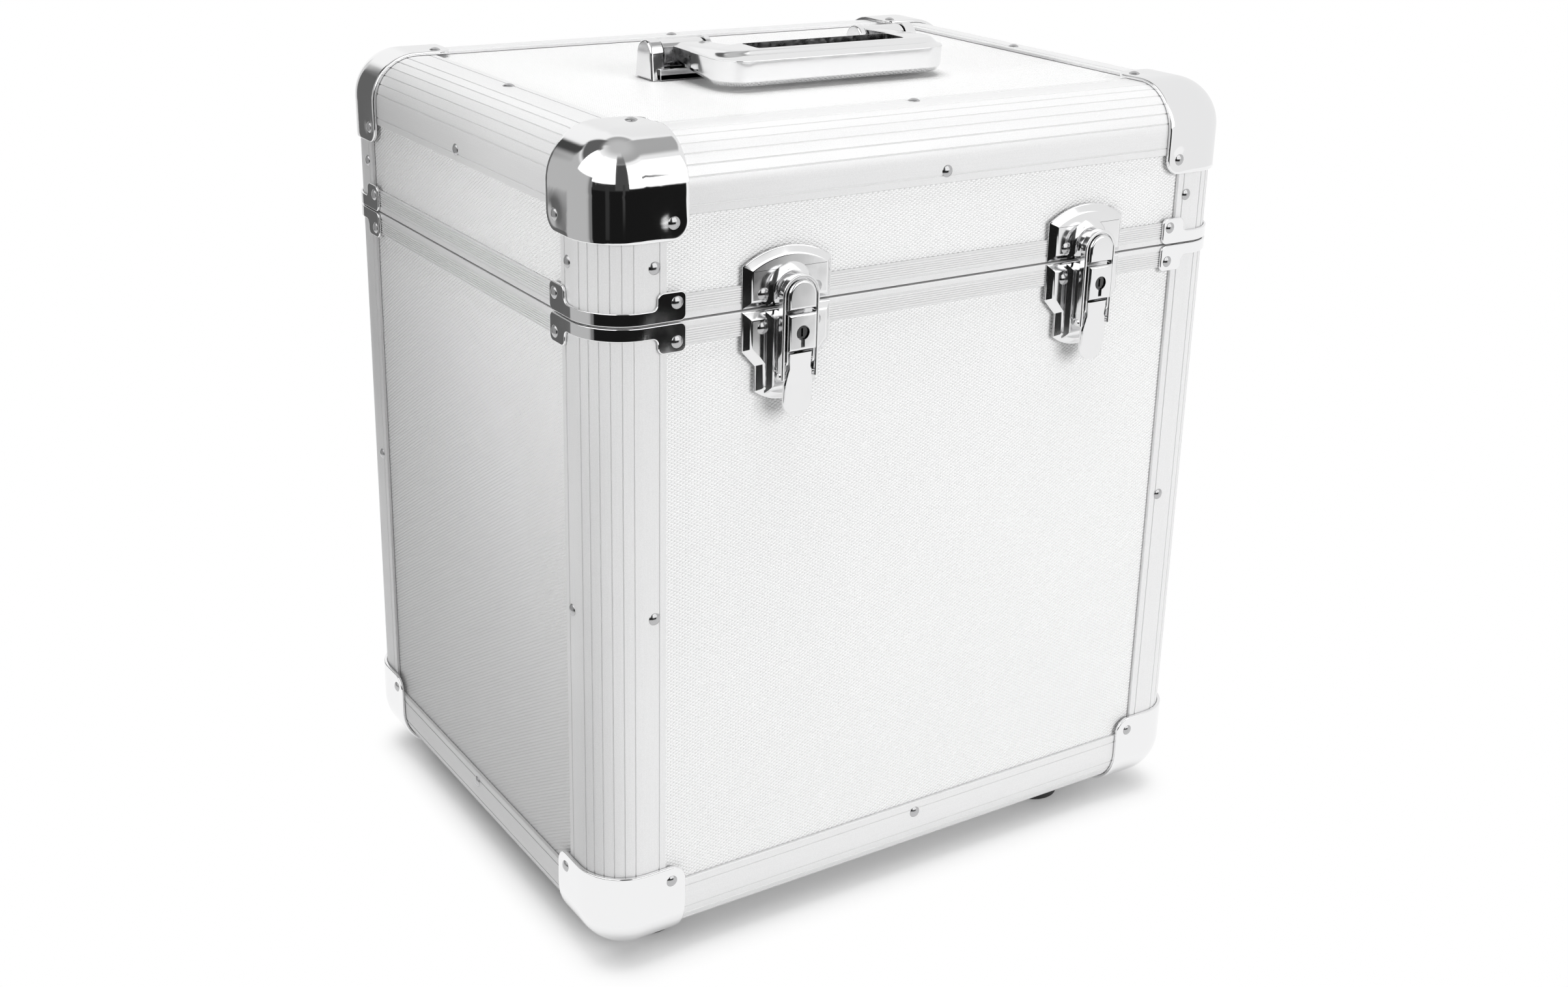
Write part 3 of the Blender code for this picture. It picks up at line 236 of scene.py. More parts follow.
def prism(outline: Outline, low: float, high: float, place: Place = flat_place) -> BMesh:
    """Outline extruded between two heights."""
    return ring_solid([[place(u, v, w) for u, v in outline] for w in (low, high)])


def pillow(outline: Outline, steps: Sequence[Pair]) -> BMesh:
    """Pressed plate whose edge rises through steps of inset and height."""
    return ring_solid([[(u, v, height) for u, v in inset(outline, depth)] for depth, height in steps])


def lathe(profile: Sequence[Pair], sides: int = 48) -> BMesh:
    """Solid of revolution about the third axis from radius and height pairs."""
    rings = [(circle((0, 0), radius, sides), height) for radius, height in profile]
    return ring_solid([[(u, v, height) for u, v in ring] for ring, height in rings])


def soften(
    bm: BMesh,
    width: float,
    segments: int = 3,
    sharp: float = 35.0,
    keep: Callable[[Vector], bool] | None = None,
) -> BMesh:
    """Round the sharp edges of a solid.

    Args:
        bm: The solid, changed in place.
        width: Size of the rounding.
        segments: Steps across the rounding.
        sharp: Smallest angle between faces that gets rounded, in degrees.
        keep: Test that both ends of an edge must pass.

    Returns:
        The same solid.
    """
    limit = radians(sharp)
    edges = []
    for edge in bm.edges:
        if len(edge.link_faces) != 2 or edge.calc_face_angle(0) < limit:
            continue
        if keep is None or all(keep(vertex.co) for vertex in edge.verts):
            edges.append(edge)
    bmesh.ops.bevel(
        bm, geom=edges, offset=width, segments=segments, profile=0.5, affect="EDGES", clamp_overlap=True
    )
    return bm


def placed(bm: BMesh, place: Place) -> BMesh:
    """Move every vertex through a place function and turn the faces outward.

    Args:
        bm: The solid, changed in place.
        place: Gives the new place of a point.

    Returns:
        The same solid.
    """
    for vertex in bm.verts:
        vertex.co = Vector(place(*vertex.co))
    bmesh.ops.recalc_face_normals(bm, faces=bm.faces)
    return bm


def sideways(place: Place) -> Place:
    """Place for an outline that is seen from the side."""
    return lambda u, v, w: place(w, v, u)


def both_sides(low: float, high: float) -> tuple[Pair, Pair]:
    """A span and its mirror image, each from its lower end."""
    return ((-high, -low), (low, high))


def as_mesh(name: str, solids: Iterable[BMesh], smooth: float = 30.0) -> Mesh:
    """Gather solids in one mesh, smooth except across edges sharper than the angle.

    Args:
        name: Name of the mesh.
        solids: The solids, which are used up.
        smooth: Largest angle that stays smooth, in degrees.

    Returns:
        The mesh.
    """
    mesh = bpy.data.meshes.new(name)
    whole = bmesh.new()
    for solid in solids:
        part = bpy.data.meshes.new(name)
        solid.to_mesh(part)
        solid.free()
        whole.from_mesh(part)
        bpy.data.meshes.remove(part)
    whole.to_mesh(mesh)
    whole.free()
    shade(mesh, smooth)
    return mesh


def solid_of(mesh: Mesh) -> BMesh:
    """Solid with the faces of a mesh.

    Args:
        mesh: The mesh.

    Returns:
        The solid.
    """
    bm = bmesh.new()
    bm.from_mesh(mesh)
    return bm


def shade(mesh: Mesh, smooth: float) -> None:
    """Smooth all faces and mark the edges sharper than the angle."""
    mesh.polygons.foreach_set("use_smooth", [True] * len(mesh.polygons))
    mesh.set_sharp_from_angle(angle=radians(smooth))


def linked(name: str, data: ID) -> Object:
    """Put a new object with this data in the scene.

    Args:
        name: Name of the object.
        data: Its mesh, lamp or camera.

    Returns:
        The object.
    """
    thing = bpy.data.objects.new(name, data)
    bpy.context.scene.collection.objects.link(thing)
    return thing


def evaluated_mesh(piece: Object) -> Mesh:
    """Plain mesh of an object with its modifiers applied."""
    graph = bpy.context.evaluated_depsgraph_get()
    return bpy.data.meshes.new_from_object(piece.evaluated_get(graph))


def carved(mesh: Mesh, tools: Iterable[BMesh], smooth: float = 30.0) -> Mesh:
    """Cut solids out of a mesh.

    Args:
        mesh: The mesh.
        tools: Solids to cut with, which are used up.
        smooth: Largest angle that stays smooth, in degrees.

    Returns:
        The cut mesh.
    """
    target = linked("carve_target", mesh)
    helpers = []
    for tool in tools:
        helper = linked("carve_tool", bpy.data.meshes.new("carve_tool"))
        tool.to_mesh(helper.data)
        tool.free()
        helpers.append(helper)
        cut = target.modifiers.new("cut", "BOOLEAN")
        cut.operation = "DIFFERENCE"
        cut.solver = "EXACT"
        cut.object = helper
    result = evaluated_mesh(target)
    for used in (target, *helpers):
        bpy.data.objects.remove(used)
    shade(result, smooth)
    return result


# Node trees


class Graph:
    """Short way to add and link the nodes of one tree."""

    def __init__(self, tree: NodeTree) -> None:
        """Keep the tree."""
        self.tree = tree

    def feed(self, socket: NodeSocket, value: Any) -> None:
        """Link an input to a socket, or set its plain value.

        Args:
            socket: The input.
            value: Socket or plain value.
        """
        if isinstance(value, NodeSocket):
            self.tree.links.new(value, socket)
        else:
            socket.default_value = value

    def node(self, kind: str, inputs: dict[Any, Any] | None = None, **settings: Any) -> Node:
        """Add a node.

        Args:
            kind: Type name of the node.
            inputs: Value or socket for each named or numbered input.
            **settings: Properties of the node itself.

        Returns:
            The new node.
        """
        node = self.tree.nodes.new(kind)
        for name, value in settings.items():
            setattr(node, name, value)
        for key, value in (inputs or {}).items():
            self.feed(node.inputs[key], value)
        return node

    def group(self, tree: NodeTree, inputs: dict[str, Any]) -> Any:
        """Place a shared group and give its outputs."""
        return self.node("ShaderNodeGroup", inputs, node_tree=tree).outputs

    def math(self, operation: str, *values: Any, clamp: bool = False) -> NodeSocket:
        """Add a Math node and give its result."""
        settings = {"operation": operation, "use_clamp": clamp}
        return self.node("ShaderNodeMath", dict(enumerate(values)), **settings).outputs[0]

    def vector(self, operation: str, *values: Any) -> Any:
        """Add a Vector Math node and give its outputs."""
        return self.node("ShaderNodeVectorMath", dict(enumerate(values)), operation=operation).outputs

    def combine(self, **parts: Any) -> NodeSocket:
        """Vector of the coordinates that are given by name."""
        return self.node("ShaderNodeCombineXYZ", parts).outputs[0]

    def split(self, value: Any) -> Any:
        """Three coordinates of a vector."""
        return self.node("ShaderNodeSeparateXYZ", {0: value}).outputs

    def noise(self, place: Any, scale: float, detail: float) -> NodeSocket:
        """Add a Noise texture and give its value."""
        inputs = {"Vector": place, "Scale": scale, "Detail": detail}
        return self.node("ShaderNodeTexNoise", inputs).outputs["Fac"]

    def bump(self, strength: float, distance: float, height: Any) -> NodeSocket:
        """Add a Bump node and give its normal."""
        inputs = {"Strength": strength, "Distance": distance, "Height": height}
        return self.node("ShaderNodeBump", inputs).outputs[0]

    def end(self, shape: Any, material: Any, out: Any) -> NodeTree:
        """Close a geometry tree: make the instances real, give them their material and send them out.

        Args:
            shape: Geometry to end with.
            material: Material socket.
            out: The tree's output sockets.

        Returns:
            The tree.
        """
        real = self.node("GeometryNodeRealizeInstances", {"Geometry": shape}).outputs[0]
        painted = self.node("GeometryNodeSetMaterial", {"Geometry": real, "Material": material}).outputs[0]
        self.feed(out["Geometry"], painted)
        return self.tree

    def glow(self, strength: Any) -> NodeSocket:
        """Add a white Emission shader."""
        return self.node("ShaderNodeEmission", {"Color": (1, 1, 1, 1), "Strength": strength}).outputs[0]

    def ramp(
        self, value: Any, low: float, high: float, first: float = 0.0, last: float = 1.0
    ) -> NodeSocket:
        """Smoothly map a value between two levels."""
        inputs = {"Value": value, "From Min": low, "From Max": high, "To Min": first, "To Max": last}
        return self.node("ShaderNodeMapRange", inputs, interpolation_type="SMOOTHSTEP").outputs["Result"]

    def blend(self, factor: Any, first: Any, second: Any) -> NodeSocket:
        """Mix two colours."""
        return self.node("ShaderNodeMix", {0: factor, 6: first, 7: second}, data_type="RGBA").outputs[2]


def new_material(name: str) -> tuple[Material, Graph]:
    """Start a material with an empty tree.

    Args:
        name: Name of the material.

    Returns:
        The material and its graph.
    """
    material = bpy.data.materials.new(name)
    material.use_nodes = True
    material.node_tree.nodes.clear()
    return material, Graph(material.node_tree)


def new_group(
    name: str, kind: str, inputs: dict[str, tuple[str, Any]], outputs: dict[str, str]
) -> tuple[Graph, Any, Any]:
    """Start a node group with named sockets.

    Args:
        name: Name of the group.
        kind: Type of its tree.
        inputs: Socket type and default by input name.
        outputs: Socket type by output name.

    Returns:
        The graph, what the group is given and the sockets for what it gives back.
    """
    tree = bpy.data.node_groups.new(name, kind)
    for label, (socket_type, default) in inputs.items():
        socket = tree.interface.new_socket(name=label, in_out="INPUT", socket_type=socket_type)
        if default is not None:
            socket.default_value = default
    for label, socket_type in outputs.items():
        tree.interface.new_socket(name=label, in_out="OUTPUT", socket_type=socket_type)
    graph = Graph(tree)
    return graph, graph.node("NodeGroupInput").outputs, graph.node("NodeGroupOutput").inputs


def baked(name: str, mesh: Mesh, tree: NodeTree, values: dict[str, Any]) -> Object:
    """Run a geometry tree on a mesh and keep the plain result.

    Args:
        name: Name of the new piece.
        mesh: What the tree starts from.
        tree: The geometry tree.
        values: Value by input name.

    Returns:
        An object with the plain mesh and no modifier.
    """
    piece = linked(name, mesh)
    modifier = piece.modifiers.new("maker", "NODES")
    modifier.node_group = tree
    for item in tree.interface.items_tree:
        if item.item_type == "SOCKET" and item.in_out == "INPUT" and item.name in values:
            modifier[item.identifier] = values[item.name]
    result = evaluated_mesh(piece)
    piece.modifiers.clear()
    piece.data = result
    return piece


# Finishes


@dataclass
class Effects:
    """Shader groups that several finishes share."""

    diamond_lean: Pair = (1.9, 1.4)
    diamond_edge: Pair = (1.0, 0.25)
    smudge_scale: float = 55.0
    smudge_range: Pair = (0.48, 0.72)
    scratch_turn: Triple = (0.4, 0.7, 0.3)
    scratch_scale: Triple = (900.0, 900.0, 30.0)
    scratch_range: Pair = (0.70, 0.78)
    scratch_rough: float = 0.04
    wave_scale: float = 90.0
    speckle_scale: float = 2600.0
    cloud_scale: float = 18.0

    def __post_init__(self) -> None:
        """Build every group."""
        self.relief = self.diamond_relief()
        self.wear = self.handling_wear()
        self.grain = self.drawn_grain()

    def diamond_relief(self) -> NodeTree:
        """Rows of small staggered diamonds pressed in a sheet.

        Returns:
            Group that turns a place and a facing into a height.
        """
        inputs = {name: (VECTOR, None) for name in ("Vector", "Facing")}
        inputs |= {"Pitch": (FLOAT, 0.0025), "Row": (FLOAT, 0.00125)}
        graph, given, out = new_group("diamond_relief", "ShaderNodeTree", inputs, {"Height": FLOAT})
        calc = graph.math
        spot = graph.split(given["Vector"])
        facing = graph.split(given["Facing"])
        level = calc("GREATER_THAN", calc("ABSOLUTE", facing[2]), 0.5)
        turned = calc("SUBTRACT", level, facing[1])
        across = calc("MULTIPLY_ADD", spot[1], facing[0], calc("MULTIPLY", spot[0], turned))
        lying = calc("MULTIPLY", level, calc("SUBTRACT", spot[1], spot[2]))
        rows = calc("DIVIDE", calc("ADD", spot[2], lying), given["Row"])
        odd = calc("MULTIPLY", calc("FLOORED_MODULO", calc("FLOOR", rows), 2.0), 0.5)
        columns = calc("ADD", calc("DIVIDE", across, given["Pitch"]), odd)
        near_u = calc("SUBTRACT", calc("FRACT", columns), 0.5)
        near_v = calc("MULTIPLY", calc("SUBTRACT", calc("FRACT", rows), 0.5), 0.5)
        aside = calc("ABSOLUTE", calc("SUBTRACT", near_u, near_v))
        onward = calc("MULTIPLY", calc("ABSOLUTE", calc("ADD", near_u, near_v)), self.diamond_lean[1])
        reach = calc("MULTIPLY_ADD", aside, self.diamond_lean[0], onward)
        graph.feed(out["Height"], graph.ramp(reach, *self.diamond_edge))
        return graph.tree

    def handling_wear(self) -> NodeTree:
        """Faint smudges, hairline scratches and waves of polished metal.

        Returns:
            Group that gives a roughness and a height.
        """
        inputs = {"Vector": (VECTOR, None), "Base": (FLOAT, 0.06), "Smudge": (FLOAT, 0.06)}
        outputs = {"Roughness": FLOAT, "Height": FLOAT}
        graph, given, out = new_group("handling_wear", "ShaderNodeTree", inputs, outputs)
        smudge = graph.ramp(graph.noise(given["Vector"], self.smudge_scale, 4.0), *self.smudge_range)
        turned = {"Vector": given["Vector"], "Rotation": self.scratch_turn, "Scale": self.scratch_scale}
        streaks = graph.node("ShaderNodeMapping", turned).outputs[0]
        line = graph.ramp(graph.noise(streaks, 1.0, 1.0), *self.scratch_range)
        rough = graph.math("MULTIPLY_ADD", smudge, given["Smudge"], given["Base"])
        graph.feed(out["Roughness"], graph.math("MULTIPLY_ADD", line, self.scratch_rough, rough))
        graph.feed(out["Height"], graph.noise(given["Vector"], self.wave_scale, 1.0))
        return graph.tree

    def drawn_grain(self) -> NodeTree:
        """Fine matt speckle, streaks drawn out along a stretched direction, and wide clouds.

        Returns:
            Group that gives a streak, a speckle and a cloud.
        """
        inputs = {"Vector": (VECTOR, None), "Stretch": (VECTOR, None)}
        outputs = {"Streak": FLOAT, "Speckle": FLOAT, "Cloud": FLOAT}
        graph, given, out = new_group("drawn_grain", "ShaderNodeTree", inputs, outputs)
        scaled = graph.vector("MULTIPLY", given["Vector"], given["Stretch"])[0]
        graph.feed(out["Streak"], graph.noise(scaled, 1.0, 3.0))
        graph.feed(out["Speckle"], graph.noise(given["Vector"], self.speckle_scale, 2.0))
        graph.feed(out["Cloud"], graph.noise(given["Vector"], self.cloud_scale, 3.0))
        return graph.tree


@dataclass(frozen=True)
class Finish:
    """Base of every finish: makes the material, with what its kind adds over the surface."""

    name: str
    color: Triple
    roughness: float
    metallic: float = 0.0

    def tone(self, share: float = 1.0) -> tuple[float, ...]:
        """The finish's colour, or a darker share of it."""
        return (*[channel * share for channel in self.color], 1.0)

    def grained(self, graph: Graph, noise: Any, share: float) -> NodeSocket:
        """Colour that a noise turns from a darker share to the full tone."""
        return graph.blend(graph.ramp(noise, *GRAIN_RANGE), self.tone(share), self.tone())

    def uneven(self, graph: Graph, noise: Any, less: float, more: float) -> NodeSocket:
        """Roughness that a noise moves about the finish's own."""
        return graph.ramp(noise, *NOISE_RANGE, self.roughness - less, self.roughness + more)

    def build(self, effects: Effects) -> Material:
        """Make the material.

        Args:
            effects: The shared groups.

        Returns:
            The material.
        """
        material, graph = new_material(self.name)
        plain = {"Base Color": self.tone(), "Roughness": self.roughness, "Metallic": self.metallic}
        shader = graph.node("ShaderNodeBsdfPrincipled", plain)
        graph.node("ShaderNodeOutputMaterial", {0: shader.outputs[0]})
        coords = graph.node("ShaderNodeTexCoord").outputs
        for label, value in self.surface(graph, effects, coords).items():
            graph.feed(shader.inputs[label], value)
        material.diffuse_color = self.tone()
        return material

    def surface(self, graph: Graph, effects: Effects, coords: Any) -> dict[str, Any]:
        """What changes over the surface, by the shader's input."""
        raise NotImplementedError


@dataclass(frozen=True)
class Laminate(Finish):
    """White sheet with a pressed diamond relief."""

    pitch: float = 0.00286
    row: float = 0.00085
    depth: float = 0.00040
    # share of the tone in the relief's hollows: painted shade
    low_share: float = 0.95
    cloud_share: float = 0.8
    cloud_most: float = 0.05
    gloss: Pair = (0.05, 0.08)
    grain_scale: float = 300.0

    def surface(self, graph: Graph, effects: Effects, coords: Any) -> dict[str, Any]:
        """Relief in bump with painted shade in its hollows, faint clouds and an uneven gloss.

        Args:
            graph: The material's graph.
            effects: The shared groups.
            coords: The coordinates.

        Returns:
            Sockets by input of the shader.
        """
        pressed = {"Vector": coords["Object"], "Facing": coords["Normal"]}
        pressed |= {"Pitch": self.pitch, "Row": self.row}
        height = graph.group(effects.relief, pressed)["Height"]
        grain = graph.group(effects.grain, {"Vector": coords["Object"], "Stretch": [self.grain_scale] * 3})
        # painted shade: the colour darkens from the raised diamonds towards the hollows between them
        high = graph.blend(height, self.tone(self.low_share), self.tone())
        cloud = graph.ramp(grain["Cloud"], *NOISE_RANGE, 0.0, self.cloud_most)
        color = graph.blend(cloud, high, self.tone(self.cloud_share))
        rough = self.uneven(graph, grain["Speckle"], *self.gloss)
        return {"Base Color": color, "Roughness": rough, "Normal": graph.bump(1.0, self.depth, height)}


@dataclass(frozen=True)
class SatinMetal(Finish):
    """Anodised extrusion with a grain along one axis."""

    grain: Axis = Axis.Z
    depth: float = 0.00002
    grain_scale: float = 2200.0
    drawn_scale: float = 40.0
    streak_share: float = 0.25
    low_share: float = 0.93
    gloss: Pair = (0.04, 0.05)
    bump: float = 0.5

    def surface(self, graph: Graph, effects: Effects, coords: Any) -> dict[str, Any]:
        """Speckle and drawn streaks in colour and bump, and an uneven gloss.

        Args:
            graph: The material's graph.
            effects: The shared groups.
            coords: The coordinates.

        Returns:
            Sockets by input of the shader.
        """
        stretch = [self.drawn_scale if axis is self.grain else self.grain_scale for axis in Axis]
        grain = graph.group(effects.grain, {"Vector": coords["Object"], "Stretch": stretch})
        streak = graph.math("MULTIPLY", grain["Streak"], self.streak_share)
        mixed = graph.math("MULTIPLY_ADD", grain["Speckle"], 1 - self.streak_share, streak)
        color = self.grained(graph, mixed, self.low_share)
        rough = self.uneven(graph, grain["Cloud"], *self.gloss)
        return {"Base Color": color, "Roughness": rough, "Normal": graph.bump(self.bump, self.depth, mixed)}


@dataclass(frozen=True)
class Plated(Finish):
    """Polished plating with faint smudges and a slightly wavy surface."""

    smudge: float = 0.05
    wave: float = 0.00004
    bump: float = 0.3

    def surface(self, graph: Graph, effects: Effects, coords: Any) -> dict[str, Any]:
        """Smudges in the gloss and low waves in the bump.

        Args:
            graph: The material's graph.
            effects: The shared groups.
            coords: The coordinates.

        Returns:
            Sockets by input of the shader.
        """
        inputs = {"Vector": coords["Object"], "Base": self.roughness, "Smudge": self.smudge}
        wear = graph.group(effects.wear, inputs)
        return {"Roughness": wear["Roughness"], "Normal": graph.bump(self.bump, self.wave, wear["Height"])}


@dataclass(frozen=True)
class Textured(Finish):
    """Matt rubber, foam or rough casting with an uneven surface."""

    scale: float = 900.0
    depth: float = 0.0002
    contrast: float = 0.3
    pore_share: float = 1.4
    gloss: Pair = (0.08, 0.08)
    bump: float = 0.8

    def surface(self, graph: Graph, effects: Effects, coords: Any) -> dict[str, Any]:
        """Grains and pores in colour, gloss and bump.

        Args:
            graph: The material's graph.
            effects: The shared groups.
            coords: The coordinates.

        Returns:
            Sockets by input of the shader.
        """
        fine = graph.noise(coords["Object"], self.scale, 5.0)
        inputs = {"Vector": coords["Object"], "Scale": self.scale * self.pore_share}
        pores = graph.node("ShaderNodeTexVoronoi", inputs).outputs["Distance"]
        height = graph.math("ADD", fine, graph.math("MULTIPLY", pores, 0.5))
        color = self.grained(graph, fine, 1 - self.contrast)
        rough = self.uneven(graph, fine, *self.gloss)
        return {"Base Color": color, "Roughness": rough, "Normal": graph.bump(self.bump, self.depth, height)}


class Finishes:
    """Every material of the case, by name."""

    def __init__(self) -> None:
        """Build the materials."""
        effects = Effects()
        chrome = (0.88, 0.88, 0.884)
        worn = (0.84, 0.84, 0.844)
        bright = (0.71, 0.71, 0.712)
        rivet = (0.50, 0.50, 0.505)
        hinge = (0.66, 0.66, 0.67)
        cast = (0.30, 0.30, 0.305)
        # painted shade: the lock barrel's near-black tone stands in for the shade inside the keyhole
        keyhole_shade_tone = (0.10, 0.10, 0.10)
        rubber = (0.018, 0.018, 0.018)
        foam = (0.035, 0.035, 0.037)
        self.laminate = Laminate("laminate_white", (0.82, 0.82, 0.82), 0.42).build(effects)
        self.aluminium = {
            axis: SatinMetal(f"aluminium_{axis.name.lower()}", bright, 0.40, 0.3, grain=axis).build(effects)
            for axis in Axis
        }
        self.corner_chrome = Plated("corner_chrome", chrome, 0.05, 1.0).build(effects)
        self.latch_chrome = Plated("latch_chrome", worn, 0.11, 1.0, 0.08, 0.00008).build(effects)
        self.handle_chrome = Plated("handle_chrome", chrome, 0.10, 1.0, 0.07).build(effects)
        self.rivet_steel = Plated("rivet_steel", rivet, 0.16, 1.0, 0.1).build(effects)
        self.hinge_steel = Plated("hinge_steel", hinge, 0.22, 1.0, 0.1).build(effects)
        self.lock_steel = Plated("lock_steel", keyhole_shade_tone, 0.25, 1.0, 0.1).build(effects)
        self.cast_rough = Textured("cast_rough", cast, 0.30, 1.0, 260.0, 0.0003, 0.4).build(effects)
        self.rubber = Textured("foot_rubber", rubber, 0.62, 0.0, 1500.0, 0.00008).build(effects)
        self.foam = Textured("foam_lining", foam, 0.9, 0.0, 1100.0, 0.0004, 0.5).build(effects)


# Main planes


@dataclass(frozen=True)
class Shell:
    """Main planes of the case, read from the frame, in metres."""

    half_width: float
    front: float
    back: float
    bottom: float
    top: float
    split: float
    deck: float
    radius: float = 0.022

    @classmethod
    def from_frame(cls) -> Shell:
        """Read the planes from the boxes of the frame's nodes.

        Returns:
            The shell.
        """
        near_low, near_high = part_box("body_post_front_left")
        far_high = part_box("body_post_back_right")[1]
        lid_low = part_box("lid_post_front_left")[0]
        return cls(
            half_width=(far_high.x - near_low.x) / 2,
            front=near_low.y,
            back=far_high.y,
            bottom=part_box("bottom_edge_front")[0].z,
            top=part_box("top_edge_front")[1].z,
            split=(near_high.z + lid_low.z) / 2,
            deck=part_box("top_panel")[1].z,
        )

    @property
    def middle(self) -> float:
        """Depth of the case's centre."""
        return (self.front + self.back) / 2

    @property
    def depth(self) -> float:
        """Depth of the case over its extrusions."""
        return self.back - self.front

    def end(self, half: Half) -> float:
        """Height of a half's far end."""
        return self.top if half.sign > 0 else self.bottom

    def face(self, side: int) -> float:
        """Depth of the front face for minus one, of the back face for one."""
        return self.back if side > 0 else self.front

    def corner(self, side_x: int, side_y: int, level: float) -> Vector:
        """Sharp corner on the named sides at a height."""
        return Vector((side_x * self.half_width, self.face(side_y), level))

    def at_corner(self, side_x: int, side_y: int, level: float, rise: int) -> Place:
        """Place at a corner: inward from its two faces, and up or down from a height."""
        spot = self.corner(side_x, side_y, level)
        return lambda u, v, w: (spot.x - side_x * u, spot.y - side_y * v, spot.z + rise * w)

    def on_front(self, center: float) -> Place:
        """Place for the front: across, up from the split, out of the case."""
        return lambda u, v, w: (center + u, self.front - w, self.split + v)


@dataclass
class Assembly:
    """Shared by the sub-assemblies: where things are, what they are made of and what was made."""

    shell: Shell
    finishes: Finishes
    made: list[Object] = field(default_factory=list)

    def add(
        self,
        name: str,
        mesh: Mesh,
        material: Material,
        slot: str,
        body: str,
        stands_for: Sequence[str] = (),
        even: bool = True,
    ) -> Object:
        """Put a finished mesh in the scene.

        Args:
            name: Name of the piece.
            mesh: Its mesh, in place.
            material: First finish; faces may use later slots of the mesh.
            slot: The record's slot for it.
            body: Body that it moves with.
            stands_for: Nodes that it replaces.
            even: Whether large faces lead the shading of small ones.

        Returns:
            The new object.
        """
        piece = linked(name, mesh)
        if not mesh.materials:
            mesh.materials.append(material)
        if even:
            normals = piece.modifiers.new("even_shading", "WEIGHTED_NORMAL")
            normals.keep_sharp = True
        return self.attach(piece, slot, body, stands_for)

    def attach(self, piece: Object, slot: str, body: str, stands_for: Sequence[str] = ()) -> Object:
        """Tie a piece to its body, hide the nodes that it replaces, and report it.

        Args:
            piece: The piece.
            slot: The record's slot; not used.
            body: Body that it moves with.
            stands_for: Nodes that it replaces.

        Returns:
            The same piece.
        """
        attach(piece, body)
        if stands_for:
            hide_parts(*stands_for)
        self.made.append(piece)
        log.info("%s: %d faces on %s", piece.name, len(piece.data.polygons), body)
        return piece

    def dress(self, node: str, material: Material, slot: str) -> None:
        """Give a node of the frame its finish.

        Args:
            node: Name of the node.
            material: Its finish.
            slot: The record's slot; not used.
        """
        piece = bpy.data.objects[node]
        piece.data.materials.clear()
        piece.data.materials.append(material)
        log.info("%s: dressed", node)


# Sub-assemblies


@dataclass
class Panels(Assembly):
    """Laminate panels held in the frame."""

    def build(self) -> None:
        """Dress the ten panels."""
        for half in Half:
            for side in ("front", "back", "left", "right"):
                self.dress(f"{half.label}_panel_{side}", self.finishes.laminate, "laminate")
            self.dress(f"{half.end}_panel", self.finishes.laminate, "laminate")


